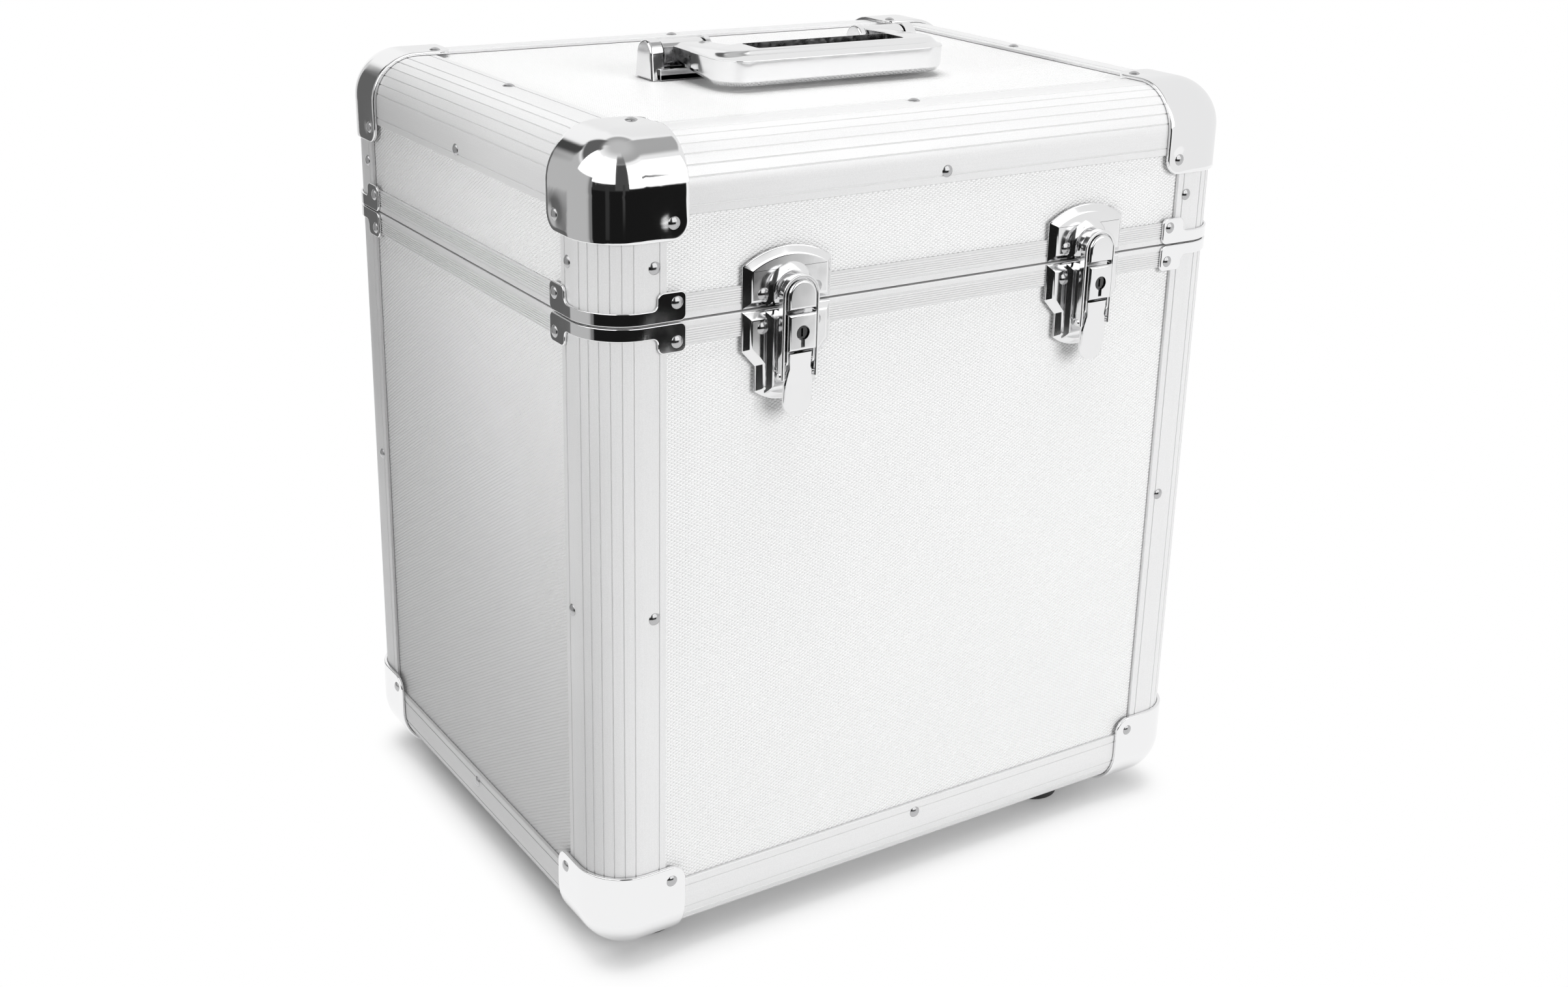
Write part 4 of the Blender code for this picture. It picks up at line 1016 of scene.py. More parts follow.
@dataclass
class Extrusions(Assembly):
    """Grooved corner posts and edge extrusions."""

    flange: float = 0.0325
    wall: float = 0.0015
    end_gap: float = 0.0005
    seam_gap: float = 0.0004
    groove_half: float = 0.00038
    groove_depth: float = 0.00040
    groove_steps: int = 6
    flange_groove: float = 0.0288
    groove_angles: tuple[float, ...] = (13.0, 25.8, 38.6, 51.4, 64.2, 77.0)
    arc_step: float = 2.5
    lip: float = 0.0003
    groove_clear: float = 1.3
    smooth: float = 28.0

    def groove(self) -> Outline:
        """Offset along the surface and depth of the points of one groove."""
        shares = [-1 + 2 * index / self.groove_steps for index in range(self.groove_steps + 1)]
        return [(self.groove_half * t, self.groove_depth * sqrt(max(1 - t * t, 0))) for t in shares]

    def quarter(self) -> Outline:
        """Distance along the half section and depth, from the flange's end to the middle of the bend.

        Returns:
            Distance and depth of each point, in order.
        """
        reach = self.shell.radius
        bend = pi / 4 * reach
        places = [self.flange - self.flange_groove]
        start = self.flange - reach
        places += [start + radians(angle) * reach for angle in self.groove_angles if angle < 45]
        stops = [(0.0, self.lip), (self.lip, 0.0)]
        for place in places:
            stops += [(place + along, depth) for along, depth in self.groove()]
        step = radians(self.arc_step) * reach
        count = round(bend / step)
        for index in range(count + 1):
            spot = start + step * index
            if all(abs(spot - place) > self.groove_half * self.groove_clear for place in places):
                stops.append((spot, 0.0))
        return sorted(stops)

    def section(self) -> Outline:
        """Closed section, inward from the two faces that the extrusion joins.

        Returns:
            The outline.
        """
        reach = self.shell.radius
        start = self.flange - reach
        side: Outline = []
        for along, depth in self.quarter():
            if along <= start:
                side.append((self.flange - along, depth))
            else:
                turn = (along - start) / reach
                radius = reach - depth
                side.append((reach - radius * sin(turn), reach - radius * cos(turn)))
        other = [(v, u) for u, v in reversed(side[:-1])]
        inner = arc((reach, reach), reach - self.wall, 180.0, 270.0, 12)
        return side + other + [(self.wall, self.flange)] + inner + [(self.flange, self.wall)]

    def build(self) -> None:
        """Make the eight posts and the eight edges."""
        section = self.section()
        gap = self.flange + self.end_gap
        wide = self.shell.half_width - gap
        for half in Half:
            near = self.shell.split + half.sign * self.seam_gap
            end = self.shell.end(half)
            for side_x, side_y, where in CORNERS:
                upright = self.shell.at_corner(side_x, side_y, 0.0, 1)
                solid = prism(section, near, end - half.sign * gap, upright)
                self.finish_bar(f"{half.label}_post_{where}", solid, Axis.Z, half)
            for sign, where in ((-1, "front"), (1, "back")):
                face = self.shell.face(sign)

                def across(u: float, v: float, w: float) -> Point:
                    """Place a section on the front or back edge."""
                    return (w, face - sign * u, end - half.sign * v)

                solid = prism(section, -wide, wide, across)
                self.finish_bar(f"{half.end}_edge_{where}", solid, Axis.X, half)
            for sign, where in SIDES:

                def deep(u: float, v: float, w: float) -> Point:
                    """Place a section on the left or right edge."""
                    return (sign * (self.shell.half_width - u), w, end - half.sign * v)

                solid = prism(section, self.shell.front + gap, self.shell.back - gap, deep)
                self.finish_bar(f"{half.end}_edge_{where}", solid, Axis.Y, half)

    def finish_bar(self, node: str, solid: BMesh, grain: Axis, half: Half) -> None:
        """Shade one extrusion and put it in the scene.

        Args:
            node: Node that it replaces.
            solid: Its solid.
            grain: Axis that it was drawn along.
            half: Half that it belongs to.
        """
        mesh = as_mesh(f"fine_{node}", [solid], self.smooth)
        metal = self.finishes.aluminium[grain]
        self.add(f"fine_{node}", mesh, metal, "aluminium", half.body, [node], even=False)


@dataclass
class Rims(Assembly):
    """Ribbed bars along the split on every side, joined inside by a web."""

    seam_gap: float = 0.0004
    reach: float = 0.033
    height: float = 0.011
    flat: float = 0.0030
    round_edge: float = 0.0005
    sunk: float = 0.00035
    wall: float = 0.0015
    ribs: int = 6
    rib_radius: float = 0.00042
    web_inset: float = 0.0018
    web_depth: float = 0.007
    web_height: float = 0.006
    smooth: float = 25.0
    rib_smooth: float = 50.0

    def section(self) -> Outline:
        """Bar's section: depth inward and height from the split.

        Returns:
            The outline.
        """
        low = self.seam_gap
        turn = self.round_edge
        points = arc((turn, low + turn), turn, 270.0, 180.0, 4)
        points += [(0, self.flat), (self.sunk, self.flat + self.sunk)]
        points += [(self.sunk, self.height - self.sunk * 2), (0, self.height - self.sunk)]
        points += [(0, self.height), (self.wall, self.height), (self.wall, low)]
        return points

    def rail_ends(self) -> Spots:
        """Ends of the four rails at the height of the split.

        Returns:
            Both ends of each rail.
        """
        wide = self.shell.half_width
        level = self.shell.split
        low = self.shell.front + self.reach
        high = self.shell.back - self.reach
        ends = []
        for side in (-1, 1):
            face = self.shell.face(side)
            inner = wide - self.reach
            ends.append((Vector((-inner, face, level)), Vector((inner, face, level))))
            ends.append((Vector((side * wide, low, level)), Vector((side * wide, high, level))))
        return ends

    def on_side(self, start: Vector) -> bool:
        """Whether a rail's end lies on the left or right face."""
        return abs(abs(start.x) - self.shell.half_width) < self.seam_gap

    def inward(self, start: Vector) -> Vector:
        """Direction into the case from a rail's end."""
        onward = copysign(1, self.shell.middle - start.y)
        return Vector((-copysign(1, start.x), 0, 0) if self.on_side(start) else (0, onward, 0))

    def build(self) -> None:
        """Make each half's rim and its ribs."""
        tree = self.rib_tree()
        for half in Half:
            solids = [self.web(half)]
            for start, end in self.rail_ends():
                inward = self.inward(start)
                ring = [inward * u + Vector((0, 0, half.sign * v)) for u, v in self.section()]
                solids.append(ring_solid([[spot + shift for shift in ring] for spot in (start, end)]))
            name = f"fine_{half.label}_rim"
            mesh = as_mesh(name, solids, self.smooth)
            metal = self.finishes.aluminium[Axis.X]
            self.add(name, mesh, metal, "ribbed_aluminium", half.body, [f"{half.label}_rim"], even=False)
            self.add_ribs(tree, half)

    def web(self, half: Half) -> BMesh:
        """Inner ring that carries the bars.

        Args:
            half: Half of the case.

        Returns:
            The ring.
        """
        near = self.shell.split + half.sign * self.seam_gap
        far = near + half.sign * self.web_height
        shell = self.shell
        rings = []
        for depth, level in (
            (self.web_inset, near),
            (self.web_inset, far),
            (self.web_depth, far),
            (self.web_depth, near),
        ):
            outline = rounded_box(shell.half_width - depth, shell.depth / 2 - depth, shell.radius - depth)
            rings.append([(u, v + shell.middle, level) for u, v in outline])
        return ring_solid(rings, closed=True)

    @staticmethod
    def rib_tree() -> NodeTree:
        """Geometry tree that stacks round ribs from each rail's line.

        Returns:
            The tree.
        """
        inputs = {
            "Geometry": (GEOMETRY, None),
            "Rib Count": ("NodeSocketInt", 6),
            "Rib Pitch": (FLOAT, 0.0008),
            "Rib Radius": (FLOAT, 0.0003),
            "Rib Finish": ("NodeSocketMaterial", None),
        }
        graph, given, out = new_group("rim_ribs", "GeometryNodeTree", inputs, {"Geometry": GEOMETRY})
        each = {"Geometry": given["Geometry"], "Amount": given["Rib Count"]}
        copies = graph.node("GeometryNodeDuplicateElements", each, domain="EDGE").outputs
        lift = graph.math("MULTIPLY", copies["Duplicate Index"], given["Rib Pitch"])
        placing = {"Geometry": copies["Geometry"], "Offset": graph.combine(Z=lift)}
        moved = graph.node("GeometryNodeSetPosition", placing).outputs[0]
        lines = graph.node("GeometryNodeMeshToCurve", {"Mesh": moved}).outputs[0]
        round_bar = {"Resolution": 10, "Radius": given["Rib Radius"]}
        profile = graph.node("GeometryNodeCurvePrimitiveCircle", round_bar).outputs[0]
        swept = {"Curve": lines, "Profile Curve": profile, "Fill Caps": True}
        bars = graph.node("GeometryNodeCurveToMesh", swept).outputs[0]
        return graph.end(bars, given["Rib Finish"], out)

    def add_ribs(self, tree: NodeTree, half: Half) -> None:
        """Make all ribs of one half as one mesh.

        Args:
            tree: The rib tree.
            half: Half of the case.
        """
        pitch = (self.height - self.flat - self.sunk * 2) / (self.ribs + 1)
        first = self.flat + self.sunk + pitch
        mesh = bpy.data.meshes.new(f"{half.label}_rim_ribs")
        points = []
        edges = []
        for start, end in self.rail_ends():
            shift = self.inward(start) * self.sunk + Vector((0, 0, half.sign * first))
            edges.append((len(points), len(points) + 1))
            points += [start + shift, end + shift]
        mesh.from_pydata(points, edges, [])
        values = {
            "Rib Count": self.ribs,
            "Rib Pitch": half.sign * pitch,
            "Rib Radius": self.rib_radius,
            "Rib Finish": self.finishes.aluminium[Axis.X],
        }
        piece = baked(f"{half.label}_rim_ribs", mesh, tree, values)
        shade(piece.data, self.rib_smooth)
        self.attach(piece, "ribbed_aluminium", half.body)


@dataclass
class Braces(Assembly):
    """Plated braces that wrap the corners along the split."""

    gap: float = 0.0003
    stand: float = 0.0014
    near: float = 0.0004
    strip: float = 0.0061
    tab_start: float = 0.0275
    tab_end: float = 0.0408
    tab_top: float = 0.0132
    turn: float = 0.0028
    edge: float = 0.00045
    bend_cuts: int = 30
    turn_steps: int = 8
    smooth: float = 32.0

    def outline(self) -> Outline:
        """Flat outline, along the wrap from its middle and height from the split, counterclockwise.

        Returns:
            The outline.
        """
        radius = self.shell.radius
        bend = pi / 4 * (radius + self.stand)
        start = bend + self.tab_start - radius
        end = bend + self.tab_end - radius
        turn = self.turn
        steps = self.turn_steps
        right = arc((end - turn, self.near + turn), turn, 270, 360, steps)
        right += arc((end - turn, self.tab_top - turn), turn, 0, 90, steps)
        right += arc((start + turn, self.tab_top - turn), turn, 90, 180, steps)
        right += reversed(arc((start - turn, self.strip + turn), turn, 270, 360, steps))
        left = [(-u, v) for u, v in reversed(right)]
        return right + left

    def wrap(self, s: float, height: float, out: float) -> Triple:
        """Bend a flat point round the corner: inward from one face, from the other, and height.

        Args:
            s: Place along the wrap.
            height: Height from the split.
            out: Distance out of the shell.

        Returns:
            Place in corner coordinates.
        """
        radius = self.shell.radius
        outer = radius + self.stand
        bend = pi / 4 * outer
        if abs(s) > bend:
            near = (radius + abs(s) - bend, -out)
            return (*near, height) if s > 0 else (near[1], near[0], height)
        turn = pi / 4 - s / outer
        reach = radius + out
        return (radius - reach * sin(turn), radius - reach * cos(turn), height)

    def solid(self) -> BMesh:
        """One brace in corner coordinates with its edges rounded.

        Returns:
            The brace.
        """
        bm = prism(self.outline(), self.gap, self.stand)
        bm.normal_update()
        soften(bm, self.edge, 3, 35.0, keep=lambda spot: spot.z > self.gap + self.edge)
        bend = pi / 4 * (self.shell.radius + self.stand)
        for index in range(self.bend_cuts + 1):
            place = bend * (2 * index / self.bend_cuts - 1)
            geometry = [*bm.verts, *bm.edges, *bm.faces]
            bmesh.ops.bisect_plane(bm, geom=geometry, plane_co=(place, 0, 0), plane_no=(1, 0, 0))
        return placed(bm, self.wrap)

    def build(self) -> None:
        """Make the eight braces."""
        for half in Half:
            for side_x, side_y, where in CORNERS:
                spot = self.shell.at_corner(side_x, side_y, self.shell.split, half.sign)
                name = f"{half.label}_brace_{where}"
                mesh = as_mesh(name, [placed(self.solid(), spot)], self.smooth)
                self.add(name, mesh, self.finishes.corner_chrome, "corner_chrome", half.body)


@dataclass
class BallCorners(Assembly):
    """Plated three-lobed shells over the corners, dimpled round their rivets."""

    reach: float = 0.042
    stand: float = 0.0019
    gap: float = 0.0003
    lobe: float = 0.0078
    rivet: float = 0.0347
    dimple_depth: float = 0.0004
    dimple_reach: float = 0.0054
    edge: float = 0.0006
    inner_steps: int = 18
    outer_steps: int = 11
    lobe_share: float = 0.45
    smooth: float = 50.0

    def ring_spot(self, extent: float, share: float) -> Pair:
        """Point on a square ring of one face, from one side at share 0 to the other at share 2.

        Args:
            extent: Half size of the ring.
            share: Place along it.

        Returns:
            Place on the flat face.
        """
        radius = self.shell.radius
        turn = self.lobe * max(extent - radius, 0) / (self.reach - radius)
        if share > 1:
            v, u = self.ring_spot(extent, 2 - share)
            return (u, v)
        straight = extent - turn
        corner = turn * pi / 4
        blend = turn / self.lobe
        even = share * (straight + corner)
        if share < 1 - self.lobe_share:
            wanted = straight * share / (1 - self.lobe_share)
        else:
            wanted = straight + corner * (share - 1 + self.lobe_share) / self.lobe_share
        along = even * (1 - blend) + wanted * blend
        if along <= straight or turn == 0:
            return (extent, min(along, extent))
        angle = (along - straight) / turn
        return (straight + turn * cos(angle), straight + turn * sin(angle))

    def lift(self, u: float, v: float, stand: float) -> Triple:
        """Raise a point of the flat face at the third coordinate's zero to the rounded surface.

        Args:
            u: First place on the face.
            v: Second place on the face.
            stand: Distance out of the extrusions.

        Returns:
            Place in corner coordinates.
        """
        radius = self.shell.radius
        base = Vector((max(u, radius), max(v, radius), radius))
        away = Vector((u, v, 0)) - base
        away.normalize()
        height = radius + stand
        if stand > self.gap:
            spread = hypot(u - self.rivet, v - self.rivet)
            height -= self.dimple_depth * exp(-((spread / self.dimple_reach) ** 2))
        spot = base + away * height
        return (spot.x, spot.y, spot.z)

    def stations(self) -> Outline:
        """Extent and stand-off of the rings outside the square patch, with the rolled rim last.

        Returns:
            The rings from the patch outward.
        """
        radius = self.shell.radius
        last = self.reach - self.edge
        count = self.outer_steps
        rows = [(radius + (last - radius) * index / count, self.stand) for index in range(count + 1)]
        return rows + arc((last, self.stand - self.edge), self.edge, 60.0, 0.0, 2)

    def solid(self) -> BMesh:
        """One closed ball corner in corner coordinates.

        Returns:
            The ball corner.
        """
        bm = bmesh.new()
        radius = self.shell.radius
        count = self.inner_steps
        steps = [radius * index / count for index in range(count + 1)]
        stations = self.stations()
        shares = [k / count for k in range(2 * count + 1)]
        rings = [[self.ring_spot(extent, share) for share in shares] for extent, _ in stations]
        for order in ((0, 1, 2), (1, 2, 0), (2, 0, 1)):

            def vertex(u: float, v: float, stand: float) -> BMVert:
                """Add the vertex of a flat spot."""
                spot = self.lift(u, v, stand)
                return bm.verts.new([spot[index] for index in order])

            border: list[BMVert] = []
            for inner in (False, True):
                level = self.gap if inner else self.stand
                square = [[vertex(u, v, level) for v in steps] for u in steps]
                heights = [self.gap if inner else stand for _, stand in stations]
                rows = [[vertex(u, v, height) for u, v in ring] for ring, height in zip(rings, heights)]
                self.join(bm, square)
                self.join(bm, rows)
                if inner:
                    self.join(bm, [border, rows[-1]])
                border = rows[-1]
        bmesh.ops.remove_doubles(bm, verts=bm.verts, dist=self.gap / 30)
        bmesh.ops.recalc_face_normals(bm, faces=bm.faces)
        return bm

    @staticmethod
    def join(bm: BMesh, rows: Sequence[Sequence[BMVert]]) -> None:
        """Fill the grid between rows of vertices with faces.

        Args:
            bm: Solid that gets the faces.
            rows: Rows of equal length.
        """
        for low, high in zip(rows, rows[1:]):
            for k in range(len(low) - 1):
                bm.faces.new((low[k], high[k], high[k + 1], low[k + 1]))

    def build(self) -> None:
        """Make the eight ball corners."""
        for half in Half:
            for side_x, side_y, where in CORNERS:
                spot = self.shell.at_corner(side_x, side_y, self.shell.end(half), -half.sign)
                node = f"{half.end}_corner_{where}"
                mesh = as_mesh(f"fine_{node}", [placed(self.solid(), spot)], self.smooth)
                chrome = self.finishes.corner_chrome
                self.add(f"fine_{node}", mesh, chrome, "corner_chrome", half.body, [node], even=False)


@dataclass
class Rivets(Assembly):
    """Domed rivet heads on extrusions, ball corners, braces and latches."""

    head_radius: float = 0.00285
    head_height: float = 0.0012
    ball: float = 0.0347
    ball_stand: float = 0.0015
    post_inset: float = 0.0265
    lid_drop: float = 0.053
    body_rise: float = 0.169
    edge_inset: float = 0.0270
    brace_inset: float = 0.0365
    brace_height: float = 0.0085
    brace_stand: float = 0.0013
    latch_offset: float = 0.084
    fitting_spread: float = 0.0135
    latch_heights: Pair = (0.007, -0.008)
    latch_stand: float = 0.0031
    hinge_height: float = 0.0190
    hinge_stand: float = 0.0018
    tilt: float = 0.05
    seed: int = 7
    dome: Pair = (0.7, 0.3)
    smooth: float = 60.0

    def corner_spots(self, half: Half) -> Spots:
        """Rivets on the ball corners, posts and braces of one half.

        Args:
            half: Half of the case.

        Returns:
            Place and direction of each head.
        """
        spots = []
        end = self.shell.end(half)
        level = end - self.lid_drop if half.sign > 0 else end + self.body_rise
        for side_x, side_y, _ in CORNERS:
            corner = self.shell.corner(side_x, side_y, end)
            out_x = Vector((side_x, 0, 0))
            out_y = Vector((0, side_y, 0))
            out_z = Vector((0, 0, half.sign))
            for out, first, second in ((out_x, out_y, out_z), (out_y, out_x, out_z), (out_z, out_x, out_y)):
                spots.append((corner - (first + second) * self.ball + out * self.ball_stand, out))
            for out, other in ((out_x, out_y), (out_y, out_x)):
                post = corner - other * self.post_inset
                post.z = level
                brace = corner - other * self.brace_inset + out * self.brace_stand
                brace.z = self.shell.split + half.sign * self.brace_height
                spots += [(post, out), (brace, out)]
        return spots

    def edge_spots(self, half: Half) -> Spots:
        """Rivets at the middle of each edge extrusion, on both of its faces.

        Args:
            half: Half of the case.

        Returns:
            Place and direction of each head.
        """
        spots = []
        shell = self.shell
        end = shell.end(half)
        up = Vector((0, 0, half.sign))
        for side in (-1, 1):
            for out, corner in (
                (Vector((side, 0, 0)), Vector((side * shell.half_width, shell.middle, end))),
                (Vector((0, side, 0)), Vector((0, shell.face(side), end))),
            ):
                spots += [(corner - up * self.edge_inset, out), (corner - out * self.edge_inset, up)]
        return spots

    def fitting_spots(self, half: Half) -> Spots:
        """Rivets of the latches in front and the hinges behind.

        Args:
            half: Half of the case.

        Returns:
            Place and direction of each head.
        """
        spots = []
        shell = self.shell
        latch_level = shell.split + self.latch_heights[0 if half.sign > 0 else 1]
        hinge_level = shell.split + half.sign * self.hinge_height
        for side in (-1, 1):
            for turn in (-1, 1):
                across = side * self.latch_offset + turn * self.fitting_spread
                latch = Vector((across, shell.front - self.latch_stand, latch_level))
                hinge = Vector((across, shell.back + self.hinge_stand, hinge_level))
                spots += [(latch, Vector((0, -1, 0))), (hinge, Vector((0, 1, 0)))]
        return spots

    def head_tree(self) -> NodeTree:
        """Geometry tree that sets a domed head on every point, facing out.

        Returns:
            The tree.
        """
        inputs = {
            "Geometry": (GEOMETRY, None),
            "Head Radius": (FLOAT, 0.003),
            "Head Height": (FLOAT, 0.001),
            "Tilt": (FLOAT, 0.03),
            "Seed": ("NodeSocketInt", 7),
            "Head Finish": ("NodeSocketMaterial", None),
        }
        graph, given, out = new_group("rivet_heads", "GeometryNodeTree", inputs, {"Geometry": GEOMETRY})
        ball = {"Segments": 32, "Rings": 18, "Radius": 1.0}
        dome = graph.node("GeometryNodeMeshUVSphere", ball).outputs[0]
        spot = graph.split(graph.node("GeometryNodeInputPosition").outputs[0])
        flat = graph.math("MULTIPLY_ADD", graph.math("ABSOLUTE", spot["Z"]), *self.dome)
        level = graph.math("MULTIPLY", spot["Z"], flat)
        pressed = graph.combine(X=spot["X"], Y=spot["Y"], Z=level)
        head = graph.node("GeometryNodeSetPosition", {"Geometry": dome, "Position": pressed}).outputs[0]
        size = graph.combine(X=given["Head Radius"], Y=given["Head Radius"], Z=given["Head Height"])
        kind = "GeometryNodeInputNamedAttribute"
        facing = graph.node(kind, {"Name": "facing"}, data_type="FLOAT_VECTOR").outputs["Attribute"]
        spread = {0: (-1, -1, -1), 1: (1, 1, 1), "Seed": given["Seed"]}
        tilt = graph.node("FunctionNodeRandomValue", spread, data_type="FLOAT_VECTOR").outputs[0]
        scaling = {0: tilt, "Scale": given["Tilt"]}
        lean = graph.node("ShaderNodeVectorMath", scaling, operation="SCALE").outputs[0]
        aim = graph.vector("ADD", facing, lean)[0]
        turn = graph.node("FunctionNodeAlignRotationToVector", {"Vector": aim}, axis="Z").outputs[0]
        setting = {"Points": given["Geometry"], "Instance": head, "Rotation": turn, "Scale": size}
        heads = graph.node("GeometryNodeInstanceOnPoints", setting).outputs[0]
        return graph.end(heads, given["Head Finish"], out)

    def build(self) -> None:
        """Make one mesh of heads for each half."""
        tree = self.head_tree()
        for half in Half:
            spots = self.corner_spots(half) + self.edge_spots(half) + self.fitting_spots(half)
            mesh = bpy.data.meshes.new(f"{half.label}_rivets")
            mesh.from_pydata([spot for spot, _ in spots], [], [])
            facing = mesh.attributes.new("facing", "FLOAT_VECTOR", "POINT")
            facing.data.foreach_set("vector", [value for _, out in spots for value in out])
            values = {
                "Head Radius": self.head_radius,
                "Head Height": self.head_height,
                "Tilt": self.tilt,
                "Seed": self.seed,
                "Head Finish": self.finishes.rivet_steel,
            }
            piece = baked(f"{half.label}_rivets", mesh, tree, values)
            shade(piece.data, self.smooth)
            self.attach(piece, "corner_chrome", half.body)


@dataclass
class Latches(Assembly):
    """Two draw latches: strike plate with its catch, base with the lock, lever and bail."""

    offset: float = 0.084
    half_width: float = 0.0225
    seam: float = 0.0007
    back: float = 0.0003
    plate: tuple[Pair, ...] = (
        (0.0, 0.0003), (0.0, 0.0006), (0.0002, 0.0008), (0.0005, 0.0009), (0.0007, 0.0011),
        (0.0027, 0.0027), (0.0030, 0.0029), (0.0034, 0.0031), (0.0040, 0.0032),
    )
    strike_side: float = 0.0195
    strike_top: float = 0.0265
    shoulder: float = 0.018
    waist: float = 0.0255
    lower_half: float = 0.0158
    lower_side: float = 0.037
    lower_end: float = 0.0425
    boss_half: float = 0.0112
    boss_top: float = 0.0195
    boss: tuple[Pair, ...] = (
        (-0.0008, 0.0026), (0.0, 0.0034), (0.0008, 0.0040), (0.0018, 0.0046), (0.0028, 0.0050),
        (0.0038, 0.0052),
    )
    cap_half: float = 0.0072
    cap_front: float = 0.0136
    cap_low: float = 0.0010
    cap_top: float = 0.0140
    housing_half: float = 0.00725
    housing_front: float = 0.0140
    housing_low: float = 0.0172
    rounding: float = 0.0013
    block_angles: tuple[float, ...] = (0.0, 20.0, 40.0, 60.0, 80.0, 90.0)
    key_drop: float = 0.0092
    key_radius: float = 0.0033
    key_slot_half: float = 0.0010
    key_slot_drop: float = 0.0064
    lever_out: float = 0.0107
    lever_drop: float = 0.0220
    bail_out: float = 0.0098
    bail_drop: float = 0.0285
    pin_radius: float = 0.0011
    lever_rows: tuple[Triple, ...] = (
        (0.0184, 0.0058, 0.0132), (0.0255, 0.0058, 0.01251), (0.0268, 0.0066, 0.01239),
        (0.0290, 0.0068, 0.01217), (0.0322, 0.0074, 0.01188), (0.0328, 0.0074, 0.01182),
        (0.0334, 0.0074, 0.01184),
    )
    lever_end: float = 0.0478
    lever_end_out: float = 0.0112
    lever_thick: float = 0.0016
    lever_roll: float = 0.0011
    lever_wall: float = 0.0004
    lever_tip: float = 1.05
    bail_gap: float = 0.0005
    bail_wide: float = 0.0016
    bail_back: float = 0.0086
    bail_front: float = 0.0124
    bail_end: float = 0.0018
    boss_gap: float = 0.0012
    barrel_hole: float = 0.0065
    key_slot_cut: float = 0.0050
    ear: Pair = (0.0062, 0.0072)
    ear_low: float = 0.0255
    ear_gap: float = 0.0007
    ear_knuckle: float = 0.0019
    pin_half: float = 0.0074
    cheek: Pair = (0.0036, 0.0056)
    cheek_front: Pair = (0.0115, 0.0122)
    cheek_knuckle: float = 0.0020
    pin_start: float = 0.0044
    pin_head: tuple[Pair, ...] = (
        (0.0017, 0.0), (0.0017, 0.0002), (0.0014, 0.0005), (0.0008, 0.0007), (0.0002, 0.00075),
    )
    fine_edge: float = 0.0002
    cheek_edge: float = 0.0003
    bail_edge: float = 0.0005
    smooth: float = 36.0
    pressed_smooth: float = 22.0

    def build(self) -> None:
        """Make both latches."""
        for sign, side in SIDES:
            place = self.shell.on_front(sign * self.offset)
            chrome = self.finishes.latch_chrome
            for mesh, body, node in (
                (self.strike(place), "lid", f"strike_{side}"),
                (self.base(place), "case_body", f"latch_base_{side}"),
                (self.lever(place), f"lever_{side}", f"lever_{side}"),
                (self.bail(place), f"bail_{side}", f"bail_{side}"),
            ):
                self.add(f"fine_{node}", mesh, chrome, "latch_chrome", body, [node])
            # the lock barrel is near black: painted shade inside the keyhole
            self.dress(f"lock_cylinder_{side}", self.finishes.lock_steel, "lock_steel")

    def block_steps(self, front: float) -> Outline:
        """Steps of a straight block with a round front edge.

        Args:
            front: Height of the block's front.

        Returns:
            Inset and height of each step.
        """
        turn = self.rounding
        steps = [(0.0, self.boss[0][1])]
        for angle in self.block_angles:
            share = radians(angle)
            steps.append((turn * (1 - cos(share)), front - turn * (1 - sin(share))))
        return steps

    def strike(self, place: Place) -> Mesh:
        """Plate on the lid with the raised catch.

        Args:
            place: Place of the latch.

        Returns:
            The mesh.
        """
        plate = pillow(arched(self.half_width, self.seam, self.strike_side, self.strike_top), self.plate)
        boss = pillow(self.tongue(self.boss_half, self.seam + self.boss_gap, self.boss_top), self.boss)
        steps = self.block_steps(self.cap_front)
        cap = pillow(self.tongue(self.cap_half, self.cap_low, self.cap_top), steps)
        solids = [placed(solid, place) for solid in (plate, boss, cap)]
        return as_mesh("fine_strike", solids, self.pressed_smooth)

    @staticmethod
    def tongue(half: float, low: float, top: float) -> Outline:
        """Straight foot and sides with a half-round end, counterclockwise."""
        return [(-half, low), (half, low)] + arc((0, top - half), half, 0, 180, 32)

    def base_outline(self) -> Outline:
        """Base plate seen from the front, counterclockwise.

        Returns:
            The outline.
        """
        foot = arched(self.lower_half, -self.waist, -self.lower_side, -self.lower_end)
        shoulders = [(self.half_width, -self.shoulder), (self.half_width, -self.seam)]
        shoulders += [(-self.half_width, -self.seam), (-self.half_width, -self.shoulder)]
        return foot[:-1] + shoulders + foot[-1:]

    def base(self, place: Place) -> Mesh:
        """Base plate, lock housing with its keyhole, ears and pivot pin.

        Args:
            place: Place of the latch.

        Returns:
            The mesh.
        """
        plate = pillow(self.base_outline(), self.plate)
        boss_outline = block_outline(self.boss_half, -self.lower_side, -self.seam - self.boss_gap)
        block = block_outline(self.housing_half, -self.housing_low, -self.seam)
        housing = placed(pillow(block, self.block_steps(self.housing_front)), place)
        drilled = carved(as_mesh("housing", [housing]), self.key_tools(place), self.smooth)
        solids = [placed(plate, place), placed(pillow(boss_outline, self.boss), place)]
        solids += [*self.ears(place), solid_of(drilled)]
        return as_mesh("fine_latch_base", solids, self.pressed_smooth)

    def key_tools(self, place: Place) -> list[BMesh]:
        """Cutters for the barrel's hole and the key's slot.

        Args:
            place: Place of the latch.

        Returns:
            The cutters.
        """
        out = self.housing_front + self.rounding
        front = self.housing_front
        hole = prism(circle((0, -self.key_drop), self.key_radius, 40), front - self.barrel_hole, out)
        slot = block_outline(self.key_slot_half, -self.key_drop - self.key_slot_drop, -self.key_drop)
        return [placed(hole, place), placed(prism(slot, front - self.key_slot_cut, out), place)]

